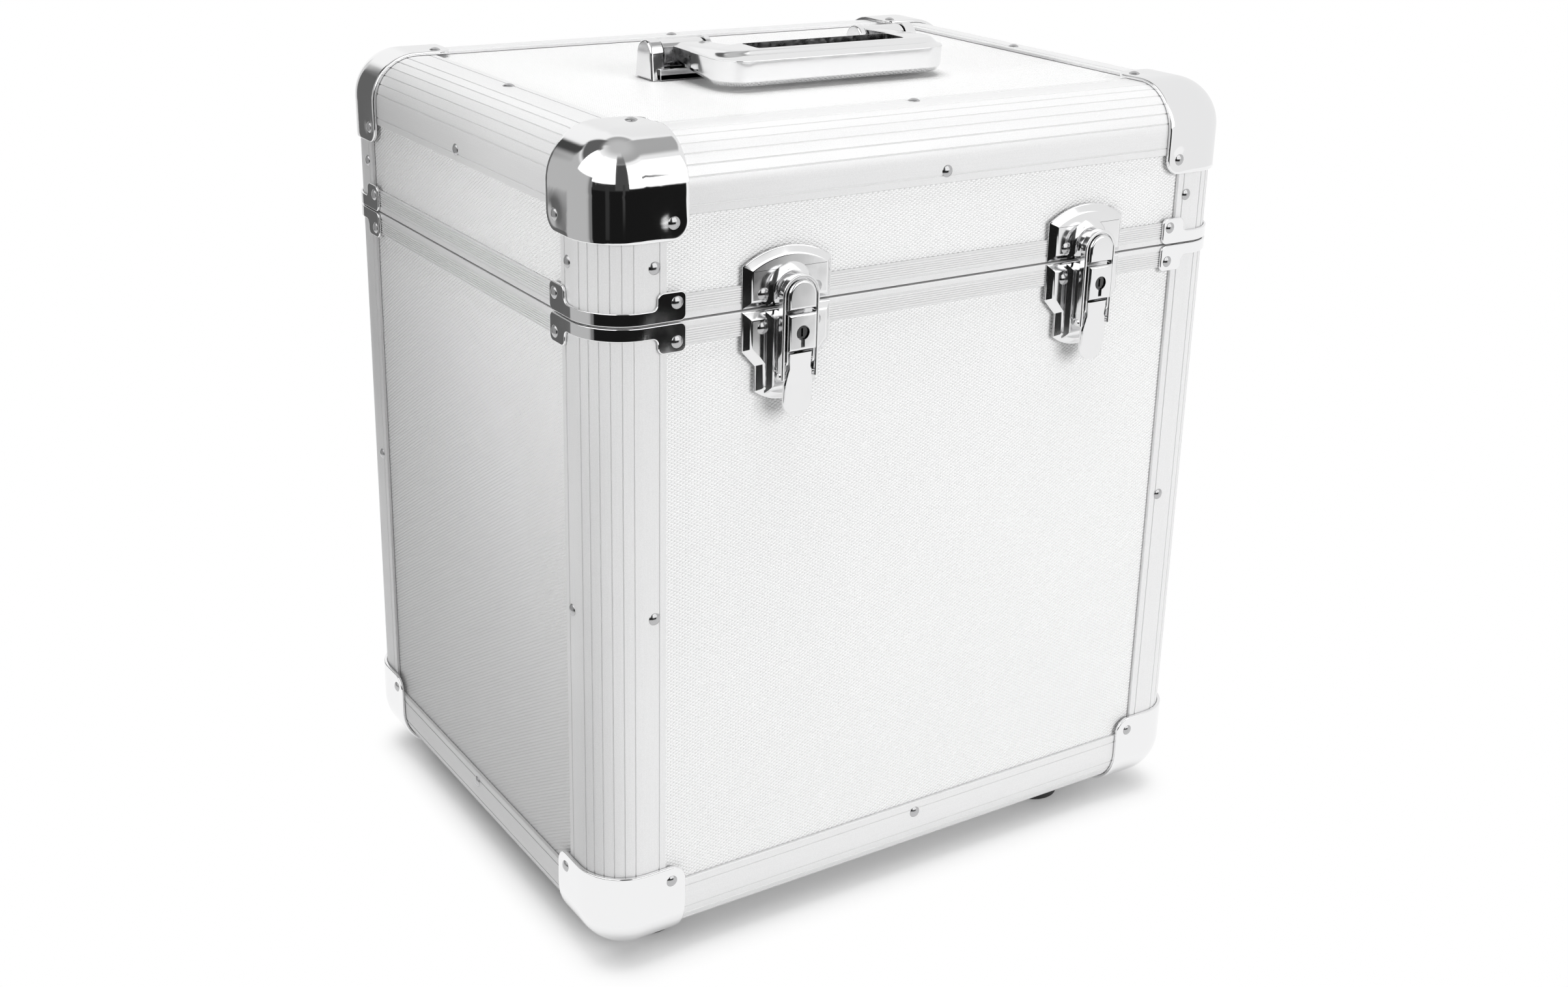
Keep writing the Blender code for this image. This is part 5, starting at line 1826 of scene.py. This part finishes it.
    def ears(self, place: Place) -> list[BMesh]:
        """Ears either side of the lever and the pin through them.

        Args:
            place: Place of the latch.

        Returns:
            The solids.
        """
        turned = sideways(place)
        root = self.plate[-1][1] / 2
        top = self.ear_gap - self.housing_low
        knuckle = self.ear_knuckle
        center = (self.lever_out, -self.lever_drop)
        ear = [(root, -self.ear_low), (self.lever_out - knuckle * 2, -self.ear_low)]
        ear += arc(center, knuckle, 240, 360, 10) + [(self.lever_out + knuckle, top), (root, top)]
        solids = [prism(ear, *span) for span in both_sides(*self.ear)]
        solids.append(prism(circle(center, self.pin_radius, 20), -self.pin_half, self.pin_half))
        return [placed(soften(solid, self.fine_edge, 2), turned) for solid in solids]

    def lever_stations(self) -> list[Triple]:
        """Drop, half width and distance out along the lever.

        Returns:
            The stations from the housing down.
        """
        rows = list(self.lever_rows)
        first, half, _ = rows[-1]
        start = self.lever_end - half
        for share in (0.25, 0.5, 0.75):
            drop = first + (start - first) * share
            rows.append((drop, half, self.front_at(drop)))
        for drop, wide in arc((start, 0), half, 90, 6, 14):
            rows.append((drop, max(wide, self.lever_roll * self.lever_tip), self.front_at(drop)))
        return rows

    def front_at(self, drop: float) -> float:
        """Distance out of the lever's lower part at a drop."""
        first, _, out = self.lever_rows[-1]
        return out + (self.lever_end_out - out) * ((drop - first) / (self.lever_end - first))

    def lever(self, place: Place) -> Mesh:
        """Bent lever with rolled sides and two cheeks.

        Args:
            place: Place of the latch.

        Returns:
            The mesh.
        """
        rings = []
        roll = self.lever_roll
        for drop, half, out in self.lever_stations():
            back = out - self.lever_thick
            ring = [(self.lever_wall - half, -drop, back), (-half, -drop, back)]
            ring += [(u, -drop, w) for u, w in arc((roll - half, out - roll), roll, 180, 90, 3)]
            rings.append(ring + [(-u, v, w) for u, v, w in reversed(ring)])
        knuckle = self.cheek_knuckle
        cheek = arc((self.lever_out, -self.lever_drop), knuckle, 90, 190, 8)
        cheek += arc((self.bail_out, -self.bail_drop), knuckle, 190, 300, 8)
        cheek += [(self.cheek_front[0], -self.bail_drop - knuckle)]
        cheek += [(self.cheek_front[1], -self.lever_drop + knuckle)]
        solids = [placed(ring_solid(rings), place)]
        for span in both_sides(*self.cheek):
            solids.append(placed(soften(prism(cheek, *span), self.cheek_edge, 2), sideways(place)))
        return as_mesh("fine_lever", solids, self.smooth)

    def bail(self, place: Place) -> Mesh:
        """Arched loop over the catch with its pin heads.

        Args:
            place: Place of the latch.

        Returns:
            The mesh.
        """
        inner = self.cap_half + self.bail_gap
        outer = inner + self.bail_wide
        rise = self.cap_top - self.cap_half
        low = -self.bail_drop - self.bail_end
        outline = [(outer, low)] + arc((0, rise), outer, 0, 180, 48) + [(-outer, low), (-inner, low)]
        outline += arc((0, rise), inner, 180, 0, 48) + [(inner, low)]
        loop = soften(prism(outline, self.bail_back, self.bail_front), self.bail_edge, 4, 40.0)
        solids = [placed(loop, place)]
        profile = [(self.pin_radius, self.pin_start), (self.pin_radius, outer)]
        profile += [(radius, outer + out) for radius, out in self.pin_head]
        for sign in (-1, 1):

            def aside(u: float, v: float, w: float) -> Point:
                """Place the pin's profile on this side."""
                return place(sign * w, v - self.bail_drop, u + self.bail_out)

            solids.append(placed(lathe(profile, 24), aside))
        return as_mesh("fine_bail", solids, self.smooth)


@dataclass
class Hinges(Assembly):
    """Two leaf hinges behind the case."""

    edge: float = 0.0004

    def build(self) -> None:
        """Round the edges of the four leaves and dress them."""
        for side in ("left", "right"):
            for part in ("body", "lid"):
                node = f"hinge_{part}_{side}"
                self.dress(node, self.finishes.hinge_steel, "hinge_steel")
                piece = bpy.data.objects[node]
                bevel = piece.modifiers.new("round_edges", "BEVEL")
                bevel.width = self.edge
                bevel.segments = 2
                bevel.limit_method = "ANGLE"
                piece.modifiers.new("even_shading", "WEIGHTED_NORMAL")


@dataclass
class Handle(Assembly):
    """Cast folding handle with a sunk trough along its grip."""

    half: float = 0.0650
    front: float = 0.0550
    corner: float = 0.0150
    grip: float = 0.0270
    arm_inner: float = 0.0475
    gap_half: float = 0.0425
    under: float = 0.0028
    arm_under: float = 0.0076
    chamfer: float = 0.0024
    wall_low: float = 0.0023
    wall_top: float = 0.0148
    arm_wall_top: float = 0.0156
    arm_top: float = 0.0172
    slope: float = 0.0050
    slope_rise: float = 0.0016
    step: float = 0.0024
    arm_step: float = 0.0080
    draft: float = 0.0004
    top: float = 0.0187
    rim: tuple[Pair, ...] = (
        (0.0, 0.0), (0.18, 0.16), (0.36, 0.50), (0.52, 0.76), (0.74, 0.93), (1.0, 1.0),
    )
    fan: float = 0.00012
    barrel_radius: float = 0.0072
    barrel: Pair = (0.0470, 0.0706)
    pivot: float = 0.0109
    trough_half: float = 0.0420
    trough_start: float = 0.0098
    trough_wide: float = 0.0160
    trough_depth: float = 0.0080
    trough_turn: float = 0.002
    trough_clear: float = 0.03
    rough_from: float = 0.0235
    rough_margin: float = 0.0004
    rough_floor: float = 0.004
    steep: float = 0.6
    arm_start: float = 0.0072
    arm_steps: int = 9
    splay_from: float = 0.4
    bend_steps: int = 16
    grip_steps: int = 8
    crease: Pair = (0.0004, 0.0002)
    brow: Pair = (0.0001, 0.0003)
    rim_start: float = 0.0005
    edge: Pair = (0.0009, 0.0003)
    barrel_edge: float = 0.0006
    smooth: float = 34.0

    def stations(self) -> list[tuple[Pair, Pair, float]]:
        """Outer point, inner point and share of arm, from the right pivot to the middle.

        Returns:
            The stations.
        """
        inner_y = -self.front + self.grip
        start = -self.arm_start
        rows = [((self.half, y), (self.arm_inner, y), 1.0) for y in (0.0, start)]
        last = -self.front + self.corner
        for step in range(1, self.arm_steps):
            share = step / self.arm_steps
            y = start + (last - start) * share
            splay = max(share - self.splay_from, 0) / (1 - self.splay_from)
            across = self.arm_inner + (self.gap_half - self.arm_inner) * splay
            rows.append(((self.half, y), (across, max(y, inner_y)), 1.0 - share))
        center = (self.half - self.corner, last)
        for step, spot in enumerate(arc(center, self.corner, 0.0, -90.0, self.bend_steps)):
            rows.append((spot, (self.gap_half - self.fan * step, inner_y), 0.0))
        last_x = self.gap_half - self.fan * (self.bend_steps + 1)
        for step in range(1, self.grip_steps + 1):
            left = 1 - step / self.grip_steps
            rows.append(((center[0] * left, -self.front), (last_x * left, inner_y), 0.0))
        return rows

    def section(self, outer: Pair, inner: Pair, share: float) -> list[Point]:
        """One closed section of the handle: chamfer, wall, front slope, rolled rim and flat top.

        Args:
            outer: Outer point.
            inner: Inner point.
            share: Share of arm.

        Returns:
            The section's points.
        """
        across = Vector((inner[0] - outer[0], inner[1] - outer[1]))
        length = across.length
        unit = across / length
        under = self.under + (self.arm_under - self.under) * share
        low = under + self.wall_low
        wall_top = self.wall_top + (self.arm_wall_top - self.wall_top) * share
        top = self.top + (self.arm_top - self.top) * share
        bend = min(max((abs(outer[0]) - self.half + self.corner) / self.corner, 0), 1) ** 2
        slope = self.slope * (1 - bend)
        step = self.step + (self.arm_step - self.step) * bend
        crease, ease = self.crease
        nib, brow = self.brow
        edge, middle = self.edge
        rows = [(self.chamfer, under), (self.draft + crease, low - crease), (self.draft, low + ease)]
        rows += [(0.0, wall_top - brow), (nib, wall_top - nib), (brow, wall_top)]
        foot = wall_top + self.slope_rise * (1 - bend)
        for along, lift in self.rim:
            rows.append((self.rim_start + slope + step * along, foot + (top - foot) * lift))
        rows += [(length - edge, top), (length - middle, top - middle), (length, top - edge)]
        rows += [(length, under + edge), (length - middle, under + middle), (length - edge, under)]
        base = Vector((outer[0], self.shell.middle + outer[1]))
        return [(base.x + unit.x * d, base.y + unit.y * d, self.shell.deck + h) for d, h in rows]

    def rings(self) -> list[list[Point]]:
        """Sections of the whole handle from the right arm to the left.

        Returns:
            The sections.
        """
        right = self.stations()
        mirror = []
        for outer, inner, share in reversed(right[:-1]):
            mirror.append(((-outer[0], outer[1]), (-inner[0], inner[1]), share))
        return [self.section(*row) for row in right + mirror]

    def build(self) -> None:
        """Make the handle with its two pivot barrels."""
        loop = as_mesh("handle_loop", [ring_solid(self.rings())], self.smooth)
        axis = (self.shell.middle, self.shell.deck + self.pivot)
        solids = []
        for span in both_sides(*self.barrel):
            barrel = soften(prism(circle(axis, self.barrel_radius, 48), *span), self.barrel_edge)
            solids.append(placed(barrel, lambda u, v, w: (w, u, v)))
        middle = self.shell.middle - self.front + self.trough_start + self.trough_wide / 2
        outline = rounded_box(self.trough_half, self.trough_wide / 2, self.trough_turn, 5)
        floor = self.shell.deck + self.top - self.trough_depth
        trough = prism([(u, v + middle) for u, v in outline], floor, self.shell.deck + self.trough_clear)
        solids.append(solid_of(carved(loop, [trough], self.smooth)))
        mesh = as_mesh("fine_handle", solids, self.smooth)
        mesh.materials.append(self.finishes.handle_chrome)
        mesh.materials.append(self.finishes.cast_rough)
        self.mark_rough(mesh, middle)
        self.add("fine_handle", mesh, self.finishes.handle_chrome, "latch_chrome", "handle", ["handle"])

    def mark_rough(self, mesh: Mesh, middle: float) -> None:
        """Give the trough and the sides of the arms near the pivots the rough casting.

        Args:
            mesh: The handle.
            middle: Depth of the trough's middle.
        """
        margin = self.rough_margin
        high = self.shell.deck + self.top - margin
        low = self.shell.deck + self.under + self.rough_floor
        for face in mesh.polygons:
            spot = face.center
            near_pivot = spot.y > self.shell.middle - self.rough_from
            along = abs(spot.x) < self.trough_half + margin
            sunk = along and abs(spot.y - middle) < self.trough_wide / 2 + margin and low < spot.z < high
            if (near_pivot and abs(face.normal.z) < self.steep) or sunk:
                face.material_index = 1


@dataclass
class HandleMounts(Assembly):
    """Two mounts on the lid: base, lip, stop and two rounded cheeks with the pin."""

    seat: float = 0.0003
    pivot: float = 0.0109
    top: float = 0.0080
    turn: float = 0.0070
    foot: Pair = (0.0076, -0.0088)
    outer_cheek: Pair = (0.0712, 0.0778)
    outer_round_from: float = 0.0740
    outer_edge: float = 0.0015
    flare: float = 0.0008
    flare_from: float = 0.0760
    inner_cheek: Pair = (0.0430, 0.0464)
    inner_round_to: float = 0.0447
    inner_edge: float = 0.0010
    blocks: tuple[Triple, ...] = (
        (-0.0102, 0.0110, 0.003), (-0.0102, -0.0078, 0.0055), (0.0085, 0.0110, 0.0100),
    )
    block_span: Pair = (0.0435, 0.0745)
    block_edge: float = 0.0004
    pin_radius: float = 0.0025
    pin_span: Pair = (0.0445, 0.0740)
    smooth: float = 36.0

    def build(self) -> None:
        """Make both mounts."""
        for sign, side in SIDES:
            name = f"fine_handle_mount_{side}"
            solids = [placed(solid, self.leaning(sign)) for solid in self.solids()]
            chrome = self.finishes.handle_chrome
            mesh = as_mesh(name, solids, self.smooth)
            self.add(name, mesh, chrome, "latch_chrome", "lid", [f"handle_mount_{side}"])

    def leaning(self, sign: int) -> Place:
        """Place for a cheek's outline, leaning out towards its foot.

        Args:
            sign: Side of the case.

        Returns:
            The place function.
        """
        base = self.shell.deck + self.seat
        height = self.pivot + self.top

        def place(u: float, v: float, w: float) -> Point:
            """Set a point beside the handle."""
            lean = self.flare * (1 - min(max((v - base) / height, 0), 1)) if w > self.flare_from else 0
            return (sign * (w + lean), u, v)

        return place

    def solids(self) -> list[BMesh]:
        """Cheeks, blocks of the base and the pin, seen from the side.

        Returns:
            The solids.
        """
        middle = self.shell.middle
        deck = self.shell.deck
        base = deck + self.seat
        lug = [(middle + self.foot[0], base)]
        lug += arc((middle, deck + self.pivot + self.top - self.turn), self.turn, 0, 180, 28)
        lug += [(middle + self.foot[1], base)]
        outer = prism(lug, *self.outer_cheek)
        inner = prism(lug, *self.inner_cheek)
        solids = [
            soften(outer, self.outer_edge, 5, keep=lambda spot: spot.z > self.outer_round_from),
            soften(inner, self.inner_edge, 5, keep=lambda spot: spot.z <= self.inner_round_to),
        ]
        for near, far, top in self.blocks:
            outline = [(middle + y, base) for y in (near, far)]
            outline += [(middle + y, base + top) for y in (far, near)]
            solids.append(soften(prism(outline, *self.block_span), self.block_edge, 2))
        solids.append(prism(circle((middle, deck + self.pivot), self.pin_radius, 24), *self.pin_span))
        return solids


@dataclass
class Feet(Assembly):
    """Moulded rubber feet with a fixing screw in a recess; heights from the ground."""

    recess: tuple[Pair, ...] = ((0.0028, 0.0022), (0.0046, 0.0022), (0.0050, 0.0006), (0.0056, 0.0))
    sole_edge: tuple[Pair, ...] = ((0.0030, 0.0), (0.0018, 0.0003), (0.0010, 0.0010), (0.0007, 0.0022))
    top_edge: tuple[Pair, ...] = ((0.0001, 0.0006), (0.0002, 0.0001))
    center: float = 0.001
    smooth: float = 40.0
    screw: tuple[Pair, ...] = (
        (0.0005, 0.0010), (0.0018, 0.0011), (0.0026, 0.0016), (0.0028, 0.0024), (0.001, 0.0024),
    )

    def build(self) -> None:
        """Make the four feet from their nodes' boxes."""
        for _, _, where in CORNERS:
            node = f"foot_{where}"
            low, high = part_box(node)
            middle = (low + high) / 2
            radius = (high.x - low.x) / 2
            top = high.z - low.z
            profile = [*self.recess, *[(radius - inward, height) for inward, height in self.sole_edge]]
            profile += [(radius - inward, top - drop) for inward, drop in self.top_edge]
            profile.append((self.center, top))

            def standing(u: float, v: float, w: float) -> Point:
                """Place a lathed shape on the ground under the case."""
                return (middle.x + u, middle.y + v, low.z + w)

            mesh = as_mesh(f"fine_{node}", [placed(lathe(profile), standing)], self.smooth)
            rubber = self.finishes.rubber
            self.add(f"fine_{node}", mesh, rubber, "foot_rubber", "case_body", [node], even=False)
            steel = as_mesh(f"{node}_screw", [placed(lathe(self.screw, 24), standing)], self.smooth)
            metal = self.finishes.hinge_steel
            self.add(f"{node}_screw", steel, metal, "hinge_steel", "case_body", even=False)


@dataclass
class Linings(Assembly):
    """Foam tubs inside the body and the lid."""

    thick: float = 0.0025
    inset: float = 0.0061
    chamfer: float = 0.006
    mouth: float = 0.0067
    smooth: float = 40.0

    def ring(self, depth: float, radius: float, level: float) -> list[Point]:
        """One level of the lining."""
        outline = rounded_box(self.shell.half_width - depth, self.shell.depth / 2 - depth, radius, 8)
        return [(u, v + self.shell.middle, level) for u, v in outline]

    def bend(self, depth: float, turn: float, radius: float, floor: float, rise: int) -> list[list[Point]]:
        """Levels of the rounded foot of one skin, from its floor up."""
        foot = arc((depth + turn, turn), turn, 270, 180, 4)
        return [self.ring(aside, radius, floor + rise * up) for aside, up in foot]

    def build(self) -> None:
        """Make both tubs."""
        for half in Half:
            rise = -half.sign
            floor = self.shell.end(half) + rise * self.inset
            mouth = self.shell.split + half.sign * self.mouth
            radius = self.shell.radius - self.inset
            inner = self.inset + self.thick
            inner_radius = radius - self.thick
            inner_turn = self.chamfer - self.thick / 2
            rings = self.bend(self.inset, self.chamfer, radius, floor, rise)
            rings.append(self.ring(self.inset, radius, mouth))
            rings.append(self.ring(inner, inner_radius, mouth))
            rings += reversed(self.bend(inner, inner_turn, inner_radius, floor + rise * self.thick, rise))
            name = f"foam_{half.label}_lining"
            mesh = as_mesh(name, [ring_solid(rings)], self.smooth)
            foam = self.finishes.foam
            node = f"{half.label}_lining"
            piece = self.add(name, mesh, foam, "foam_lining", half.body, [node], even=False)


# Studio


@dataclass(frozen=True)
class Lamp:
    """Square soft lamp: direction from the case, distance, size, brightness of its face and aim."""

    name: str
    azimuth: float
    elevation: float
    distance: float
    size: float
    level: float
    spread: float = 180.0
    aim: Triple = (0.0, 0.0, 0.3)


@dataclass(frozen=True)
class Patch:
    """Soft-edged part of the room, placed in degrees as seen from the near corner."""

    level: float
    azimuths: Pair
    elevations: Pair
    soft: float = 3.0
    top_soft: float = 3.0

    def inputs(self, azimuth: Any, elevation: Any, base: Any) -> dict[str, Any]:
        """Inputs of the patch group for this patch.

        Args:
            azimuth: Socket of the azimuth.
            elevation: Socket of the elevation.
            base: Level that it covers.

        Returns:
            Value or socket by input name.
        """
        first, last = self.azimuths
        span = ((first + last) / 2, (last - first) / 2, *self.elevations)
        values = (azimuth, elevation, base, self.level, *span, self.soft, self.top_soft)
        return dict(zip(PATCH_INPUTS, values))


@dataclass
class Studio:
    """Camera, paper floor, lamps and the room that polished metal shows."""

    camera_spot: Triple = (-0.51479, -0.79543, 0.53996)
    yaw: float = 0.5867327
    pitch: float = 0.3355292
    roll: float = 0.0265819
    focal: float = 2923.7735
    center: Pair = (1227.6151, 625.6487)
    frame: Pair = (2408.0, 1515.0)
    sensor: float = 36.0
    clip: Pair = (0.01, 100.0)
    ambient: float = 0.30
    paper: float = 0.80
    paper_glow: float = 0.02
    paper_outline: tuple[Pair, ...] = (
        (-0.74, -0.36), (-0.70, -0.55), (-0.53, -0.71), (-0.30, -0.83), (-0.10, -0.93), (0.27, -0.965),
        (0.33, -0.93), (0.55, -1.0), (3.0, -1.6), (3.0, 3.0), (1.2, 3.0), (-0.30, 0.80), (-0.62, 0.25),
    )
    paper_reach: Pair = (0.0, 0.034)
    footprint: Triple = (0.153, 0.116, 0.0)
    aim: float = 0.30
    lamps: tuple[Lamp, ...] = (
        Lamp("key", 165.0, 13.0, 2.4, 1.3, 8.2),
        Lamp("overhead", 0.0, 88.0, 1.8, 1.4, 5.6),
        Lamp("fill_left", 262.0, 10.0, 1.1, 0.3, 1.0, 32.0, (-0.175, -0.10, 0.37)),
    )
    room_radius: float = 1.7
    room_center: Triple = (0.0, 0.0, 0.3)
    seen_from: Triple = (-0.175, -0.135, 0.36)
    room_level: float = 1.0
    patches: tuple[Patch, ...] = (
        Patch(0.90, (20.0, 133.0), (-60.0, 50.0), 8.0, 10.0),
        Patch(0.36, (-30.0, 60.0), (64.0, 120.0), 7.0, 1.0),
        Patch(0.42, (66.0, 190.0), (57.0, 120.0), 6.0, 1.0),
        Patch(0.50, (276.0, 345.0), (-60.0, 24.0), 10.0, 8.0),
        Patch(0.12, (308.0, 350.0), (36.0, 63.0), 8.0, 7.0),
        Patch(0.06, (342.0, 347.0), (18.0, 28.0), 5.0, 7.0),
        Patch(0.20, (262.0, 268.0), (-60.0, 18.0), 9.0, 4.0),
        Patch(0.12, (334.0, 344.0), (-60.0, -15.0), 5.0, 4.0),
        Patch(0.13, (339.0, 346.0), (-60.0, 12.0), 5.0, 8.0),
        Patch(0.70, (350.0, 357.0), (-60.0, 14.0), 4.0, 6.0),
        Patch(0.010, (146.0, 262.0), (-60.0, 1.0), 3.0, 3.0),
        Patch(0.03, (188.0, 261.0), (0.0, 11.0), 3.0, 3.0),
        Patch(0.07, (189.0, 213.0), (2.0, 48.0), 3.5, 10.0),
        Patch(0.20, (190.0, 212.0), (54.0, 64.0), 5.0, 10.0),
        Patch(1.7, (131.0, 186.0), (4.5, 44.0), 1.5, 5.0),
        Patch(1.7, (216.5, 264.0), (13.5, 57.0), 1.5, 8.0),
        Patch(1.7, (264.0, 308.0), (21.0, 54.0), 3.0, 9.0),
        Patch(0.55, (0.0, 360.0), (80.0, 120.0), 22.0, 1.0),
        Patch(0.25, (149.0, 157.0), (19.0, 21.5), 1.5, 1.5),
        Patch(0.05, (196.0, 199.0), (-13.0, 10.0), 2.0, 3.0),
        Patch(0.035, (228.0, 233.0), (-14.0, 8.0), 3.0, 3.0),
    )

    def build(self) -> None:
        """Make everything of the studio."""
        self.add_camera()
        self.add_world()
        self.add_floor()
        self.add_lamps()
        self.add_room()

    @staticmethod
    def stage(thing: Object) -> None:
        """Report a piece of the studio."""
        log.info("%s: in the studio", thing.name)

    def add_camera(self) -> None:
        """Camera with the photograph's place, turn and framing."""
        data = bpy.data.cameras.new("camera")
        camera = linked("camera", data)
        ahead = Vector((sin(self.yaw), cos(self.yaw), 0))
        forward = ahead * cos(self.pitch) - Vector((0, 0, sin(self.pitch)))
        level = Vector((ahead.y, -ahead.x, 0))
        above = level.cross(forward)
        right = cos(self.roll) * level + sin(self.roll) * above
        up = -sin(self.roll) * level + cos(self.roll) * above
        turn = Matrix((right, up, -forward)).transposed().to_4x4()
        camera.matrix_world = Matrix.Translation(Vector(self.camera_spot)) @ turn
        data.sensor_width = self.sensor
        data.sensor_fit = "HORIZONTAL"
        data.lens = self.focal / self.frame[0] * self.sensor
        data.shift_x = (self.frame[0] / 2 - self.center[0]) / self.frame[0]
        data.shift_y = (self.center[1] - self.frame[1] / 2) / self.frame[0]
        data.clip_start, data.clip_end = self.clip
        bpy.context.scene.camera = camera

    def add_world(self) -> None:
        """White for what the lens and the metal see, a plain grey for the light."""
        world = bpy.data.worlds.new("studio")
        bpy.context.scene.world = world
        world.use_nodes = True
        world.node_tree.nodes.clear()
        graph = Graph(world.node_tree)
        strength = graph.ramp(self.shown_rays(graph), 0.0, 1.0, self.ambient, 1.0)
        back = graph.node("ShaderNodeBackground", {"Color": (1, 1, 1, 1), "Strength": strength})
        graph.node("ShaderNodeOutputWorld", {0: back.outputs[0]})

    @staticmethod
    def shown_rays(graph: Graph) -> NodeSocket:
        """One for camera, glossy and transmission rays.

        Args:
            graph: Graph to add it to.

        Returns:
            The sum.
        """
        path = graph.node("ShaderNodeLightPath").outputs
        seen = graph.math("ADD", path["Is Camera Ray"], path["Is Glossy Ray"], clamp=True)
        return graph.math("ADD", seen, path["Is Transmission Ray"], clamp=True)

    def add_floor(self) -> None:
        """White paper that keeps a soft shadow near the case and is plain white further out."""
        material, graph = new_material("paper")
        shown = self.shown_rays(graph)
        matt = graph.node("ShaderNodeBsdfDiffuse", {"Color": (self.paper, self.paper, self.paper, 1)})
        glow = graph.glow(graph.math("MULTIPLY", shown, self.paper_glow))
        near = graph.node("ShaderNodeAddShader", {0: matt.outputs[0], 1: glow})
        coords = graph.node("ShaderNodeTexCoord").outputs
        past = graph.vector("SUBTRACT", graph.vector("ABSOLUTE", coords["Object"])[0], self.footprint)
        reach = graph.vector("LENGTH", graph.vector("MAXIMUM", past[0], (0, 0, 0))[0])
        outside = graph.math("MULTIPLY", graph.ramp(reach["Value"], *self.paper_reach), shown)
        mixed = graph.node("ShaderNodeMixShader", {0: outside, 1: near.outputs[0], 2: graph.glow(1.0)})
        graph.node("ShaderNodeOutputMaterial", {0: mixed.outputs[0]})
        mesh = bpy.data.meshes.new("paper_floor")
        corners = [(x, y, 0.0) for x, y in self.paper_outline]
        mesh.from_pydata(corners, [], [tuple(range(len(corners)))])
        mesh.materials.append(material)
        self.stage(linked("paper_floor", mesh))

    def toward(self, azimuth: float, elevation: float, distance: float) -> Vector:
        """Point in a direction from the case.

        Args:
            azimuth: Degrees from the back towards the right.
            elevation: Degrees above the case's middle.
            distance: Distance.

        Returns:
            The point.
        """
        turn = radians(azimuth)
        rise = radians(elevation)
        flat = cos(rise) * distance
        return Vector((sin(turn) * flat, cos(turn) * flat, sin(rise) * distance + self.aim))

    def add_lamps(self) -> None:
        """Large soft lamps that light the matt surfaces; the room's soft boxes are what the metal shows of
        them.
        """
        for kind in self.lamps:
            data = bpy.data.lights.new(kind.name, "AREA")
            data.shape = "SQUARE"
            data.size = kind.size
            data.energy = kind.level * pi * kind.size * kind.size
            data.spread = radians(kind.spread)
            lamp = linked(kind.name, data)
            lamp.location = self.toward(kind.azimuth, kind.elevation, kind.distance)
            aim = Vector(kind.aim) - lamp.location
            lamp.rotation_euler = aim.to_track_quat("-Z", "Y").to_euler()
            lamp.visible_glossy = False
            lamp.visible_camera = False
            self.stage(lamp)

    def add_room(self) -> None:
        """Dome round the case that only reflections see: the room with its soft boxes."""
        bm = bmesh.new()
        bmesh.ops.create_uvsphere(bm, u_segments=64, v_segments=32, radius=self.room_radius)
        mesh = bpy.data.meshes.new("room")
        bm.to_mesh(mesh)
        bm.free()
        mesh.transform(Matrix.Translation(Vector(self.room_center)))
        material, graph = new_material("room")
        coords = graph.node("ShaderNodeTexCoord").outputs
        away = graph.vector("SUBTRACT", coords["Object"], self.seen_from)[0]
        spot = graph.split(away)
        azimuth = graph.math("DEGREES", graph.math("ARCTAN2", spot[0], spot[1]))
        rise = graph.math("DIVIDE", spot[2], graph.vector("LENGTH", away)["Value"])
        elevation = graph.math("DEGREES", graph.math("ARCSINE", rise))
        group = self.patch_group()
        value: Any = self.room_level
        for patch in self.patches:
            value = graph.group(group, patch.inputs(azimuth, elevation, value))[0]
        graph.node("ShaderNodeOutputMaterial", {0: graph.glow(value)})
        mesh.materials.append(material)
        piece = linked("room", mesh)
        piece.visible_camera = False
        piece.visible_diffuse = False
        piece.visible_shadow = False
        self.stage(piece)

    @staticmethod
    def patch_group() -> NodeTree:
        """Lay one soft-edged rectangle of azimuth and elevation over a level.

        Returns:
            The group.
        """
        inputs = {name: (FLOAT, 0.0) for name in PATCH_INPUTS}
        graph, given, out = new_group("soft_patch", "ShaderNodeTree", inputs, {"Level": FLOAT})
        calc = graph.math
        turned = calc("ADD", calc("SUBTRACT", given["Azimuth"], given["Middle"]), 180.0)
        aside = calc("ABSOLUTE", calc("SUBTRACT", calc("FLOORED_MODULO", turned, 360.0), 180.0))
        beside = graph.ramp(calc("SUBTRACT", aside, given["Half"]), given["Soft"], 0.0)
        over_low = calc("SUBTRACT", given["Elevation"], given["Low"])
        above = graph.ramp(over_low, calc("MULTIPLY", given["Soft"], -1.0), 0.0)
        below = graph.ramp(calc("SUBTRACT", given["Elevation"], given["High"]), given["Top Soft"], 0.0)
        mask = calc("MULTIPLY", beside, calc("MULTIPLY", above, below))
        step = calc("SUBTRACT", given["Level"], given["Base"])
        graph.feed(out["Level"], calc("MULTIPLY_ADD", step, mask, given["Base"]))
        return graph.tree


def main() -> None:
    """Load the frame and build the case and its studio."""
    logging.basicConfig(level=logging.INFO, format="%(message)s")
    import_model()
    bpy.context.scene.view_settings.view_transform = "Standard"
    shell = Shell.from_frame()
    finishes = Finishes()
    for kind in (
        Panels,
        Extrusions,
        Rims,
        Braces,
        BallCorners,
        Rivets,
        Latches,
        Hinges,
        Handle,
        HandleMounts,
        Feet,
        Linings,
    ):
        kind(shell, finishes).build()
    Studio().build()


if __name__ == "__main__":
    main()
